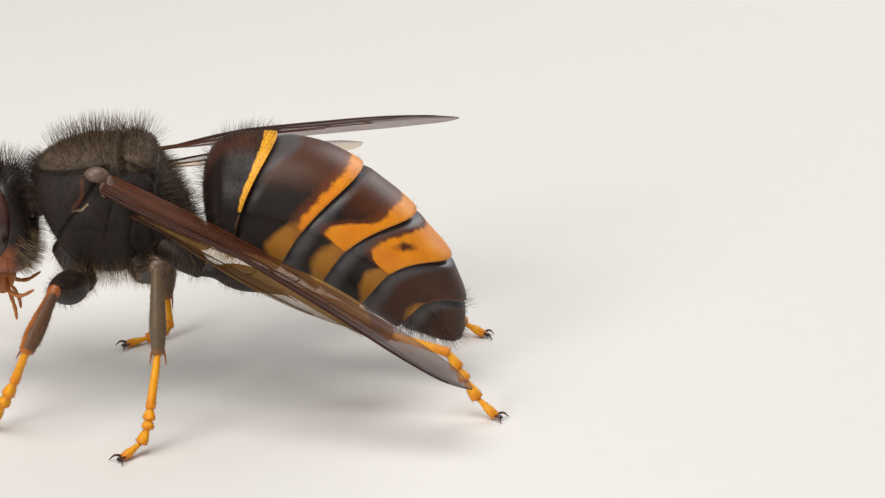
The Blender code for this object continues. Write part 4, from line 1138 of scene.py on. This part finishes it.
growCoat("coatBack", [
    tuft(thoraxSkin, 1250, 1.30, (0.02, 0, 0.10), 0.014,
         lambda p, n: smooth(11.9, 12.4, p[:, 2]) * (1 - 0.7 * smooth(1.4, 2.3, p[:, 0])),
         shades("brown", "bronze", "brown"), 0.16),
    tuft(thoraxSkin, 9000, 0.24, (0.30, 0, 0), 0.011, lambda p, n: smooth(11.4, 11.8, p[:, 2]),
         shades("bronze", "brown", "bronze", spread=0.4)),
], "black_shell", 11)
growCoat("coatSides", [
    tuft(thoraxSkin, 6500, 0.26, (0.45, 0, -0.25), 0.012, lambda p, n: 1 - smooth(11.4, 12.0, p[:, 2]),
         shades("black", "brown")),
    tuft(thoraxSkin, 1300, 1.00, (-0.05, 0, -0.20), 0.012, lambda p, n: smooth(7.6, 6.4, p[:, 2]), flankTint),
], "black_shell", 12)
growCoat("coatNeckRear", [
    tuft(thoraxSkin, 800, 0.80, (-0.35, 0, 0.25), 0.014,
         lambda p, n: smooth(-2.9, -3.4, p[:, 0]) * smooth(8.8, 9.8, p[:, 2]), shades("brown", "black")),
    tuft(thoraxSkin, 2200, 0.65, (0.3, 0, 0.10), 0.014, lambda p, n: smooth(2.5, 2.9, p[:, 0]),
         shades("brown", "bronze")),
], "black_shell", 13)
growCoat("coatHead", [
    tuft(headPiece, 900, 1.35, (0.05, 0, 0.15), 0.016,
         lambda p, n: smooth(9.9, 10.6, p[:, 2]) * (0.4 + 0.6 * smooth(-6.8, -6.0, p[:, 0])),
         shades("black", "brown"), 0.22),
    tuft(headPiece, 2600, 0.28, (0.1, 0, -0.4), 0.012,
         lambda p, n: smooth(10.4, 9.6, p[:, 2]) * smooth(-5.2, -5.6, p[:, 0]), shades("gold", "brown")),
    tuft(headPiece, 2200, 0.26, (0.4, 0, -0.3), 0.011, lambda p, n: smooth(-5.4, -4.8, p[:, 0]),
         shades("brown", "black")),
    tuft(headPiece, 900, 0.70, (0.5, 0, -0.3), 0.012,
         lambda p, n: smooth(-4.6, -4.2, p[:, 0]) * smooth(9.0, 7.5, p[:, 2]), shades("gold", "pale")),
], "orange_face", 14)


def backAndBelly(points, normals):
    return np.maximum(normals[:, 2] - 0.1, 0.5 * (normals[:, 2] < -0.3))


# Each ring's erect hairs and its short pile: how many, how long
ringHair = {1: ((1100, 0.75), (2400, 0.22)), 2: ((350, 0.45), (1500, 0.14)), 3: ((350, 0.42), (1200, 0.14)),
            4: ((300, 0.42), (1100, 0.14)), 5: ((450, 0.60), (1200, 0.18)), 6: ((600, 0.70), (1200, 0.20))}
tufts = []
for number, (erect, pile) in ringHair.items():
    dark = shades("brown", "black", spread=0.4)
    tufts.append(tuft(rings[number], *erect, (0.25, 0, 0), 0.014, everywhere if number == 1 else backAndBelly,
                      dark, 0.22))
    tufts.append(tuft(rings[number], *pile, (0.55, 0, -0.55), 0.011, everywhere, dark, 0.22))
growCoat("coatAbdomen", tufts, "abdomen_shell", 15)

# Each leg coat: its limb, hairs on each, length, lean, width, colours and their spread, slot and seed
legCoats = {
    "coatHips": ("coxa", 420, 0.60, (0.1, 0, -0.5), 0.012, ("gold", "pale", "brown"), 0.25, "black_shell", 16),
    "coatThighs": ("thigh", 520, 0.34, (0.2, 0, -0.4), 0.011, ("brown", "gold", "brown"), 0.25, "black_shell", 17),
    "coatShins": ("shin", 800, 0.15, (0, 0, -0.8), 0.010, ("gold", "brown"), 0.4, "brown_leg", 18),
    "coatFeet": ("foot", 700, 0.12, (0, 0, -0.8), 0.010, ("gold", "brown", "gold"), 0.4, "yellow_foot", 19),
}
for name, (limb, count, length, lean, width, colours, spread, slot, seed) in legCoats.items():
    growCoat(name, [tuft(skin, count, length, lean, width, everywhere, shades(*colours, spread=spread))
                    for skin in furred[limb]], slot, seed)
print("hair grown")

# Floor, lights and camera

stage = {"floorSize": 1.2, "floor": (0.74, 0.72, 0.69), "sky": (0.86, 0.85, 0.83), "skyStrength": 0.26}

clearSelection()
bpy.ops.mesh.primitive_plane_add(size=stage["floorSize"])
floor = bpy.context.object
floor.name = "floor"
floorFinish = Finish("paleFloor", Roughness=0.85)
paper = floorFinish.grain(1.5, 4)
floorFinish.wear(floorFinish.mixed(paper, stage["floor"], tuple(0.97 * c for c in stage["floor"])), None,
                 floorFinish.bump(paper, 0.01))
painted(floor, floorFinish.material)

lights = {
    "top": ((-0.020, -0.040, 0.200), (0.0, 0.0, 0.006), 0.16, 0.34, (1.0, 0.98, 0.95)),
    "front": ((-0.150, -0.190, 0.120), (0.0, 0.0, 0.007), 0.10, 0.32, (1.0, 0.95, 0.88)),
    "rear": ((0.130, 0.180, 0.120), (0.0, 0.0, 0.008), 0.14, 0.26, (0.95, 0.97, 1.0)),
}
for name, (place, target, size, power, colour) in lights.items():
    data = bpy.data.lights.new(name, "AREA")
    data.size = size
    data.energy = power
    data.color = colour
    lamp = bpy.data.objects.new(name, data)
    lamp.location = place
    lamp.rotation_euler = (Vector(target) - Vector(place)).to_track_quat("-Z", "Y").to_euler()
    bpy.context.scene.collection.objects.link(lamp)

world = bpy.data.worlds.new("room")
world.use_nodes = True
world.node_tree.nodes["Background"].inputs["Color"].default_value = (*stage["sky"], 1)
world.node_tree.nodes["Background"].inputs["Strength"].default_value = stage["skyStrength"]
bpy.context.scene.world = world
bpy.context.scene.view_settings.view_transform = "Standard"

view = {"target": (16.6, 0, 6.9), "distance": 150.0, "elevation": 20.0, "focalPixels": 3000.0, "photoWidth": 885}
tilt = math.radians(view["elevation"])
target = Vector(toFrame(view["target"]))
back = Vector((0, -math.cos(tilt), math.sin(tilt)))
cameraData = bpy.data.cameras.new("camera")
cameraData.sensor_width = 36
cameraData.lens = view["focalPixels"] / view["photoWidth"] * cameraData.sensor_width
cameraData.clip_start = 0.005
cameraData.clip_end = 5
camera = bpy.data.objects.new("camera", cameraData)
camera.location = target + back * view["distance"] / 1000
camera.rotation_euler = (-back).to_track_quat("-Z", "Y").to_euler()
bpy.context.scene.collection.objects.link(camera)
bpy.context.scene.camera = camera
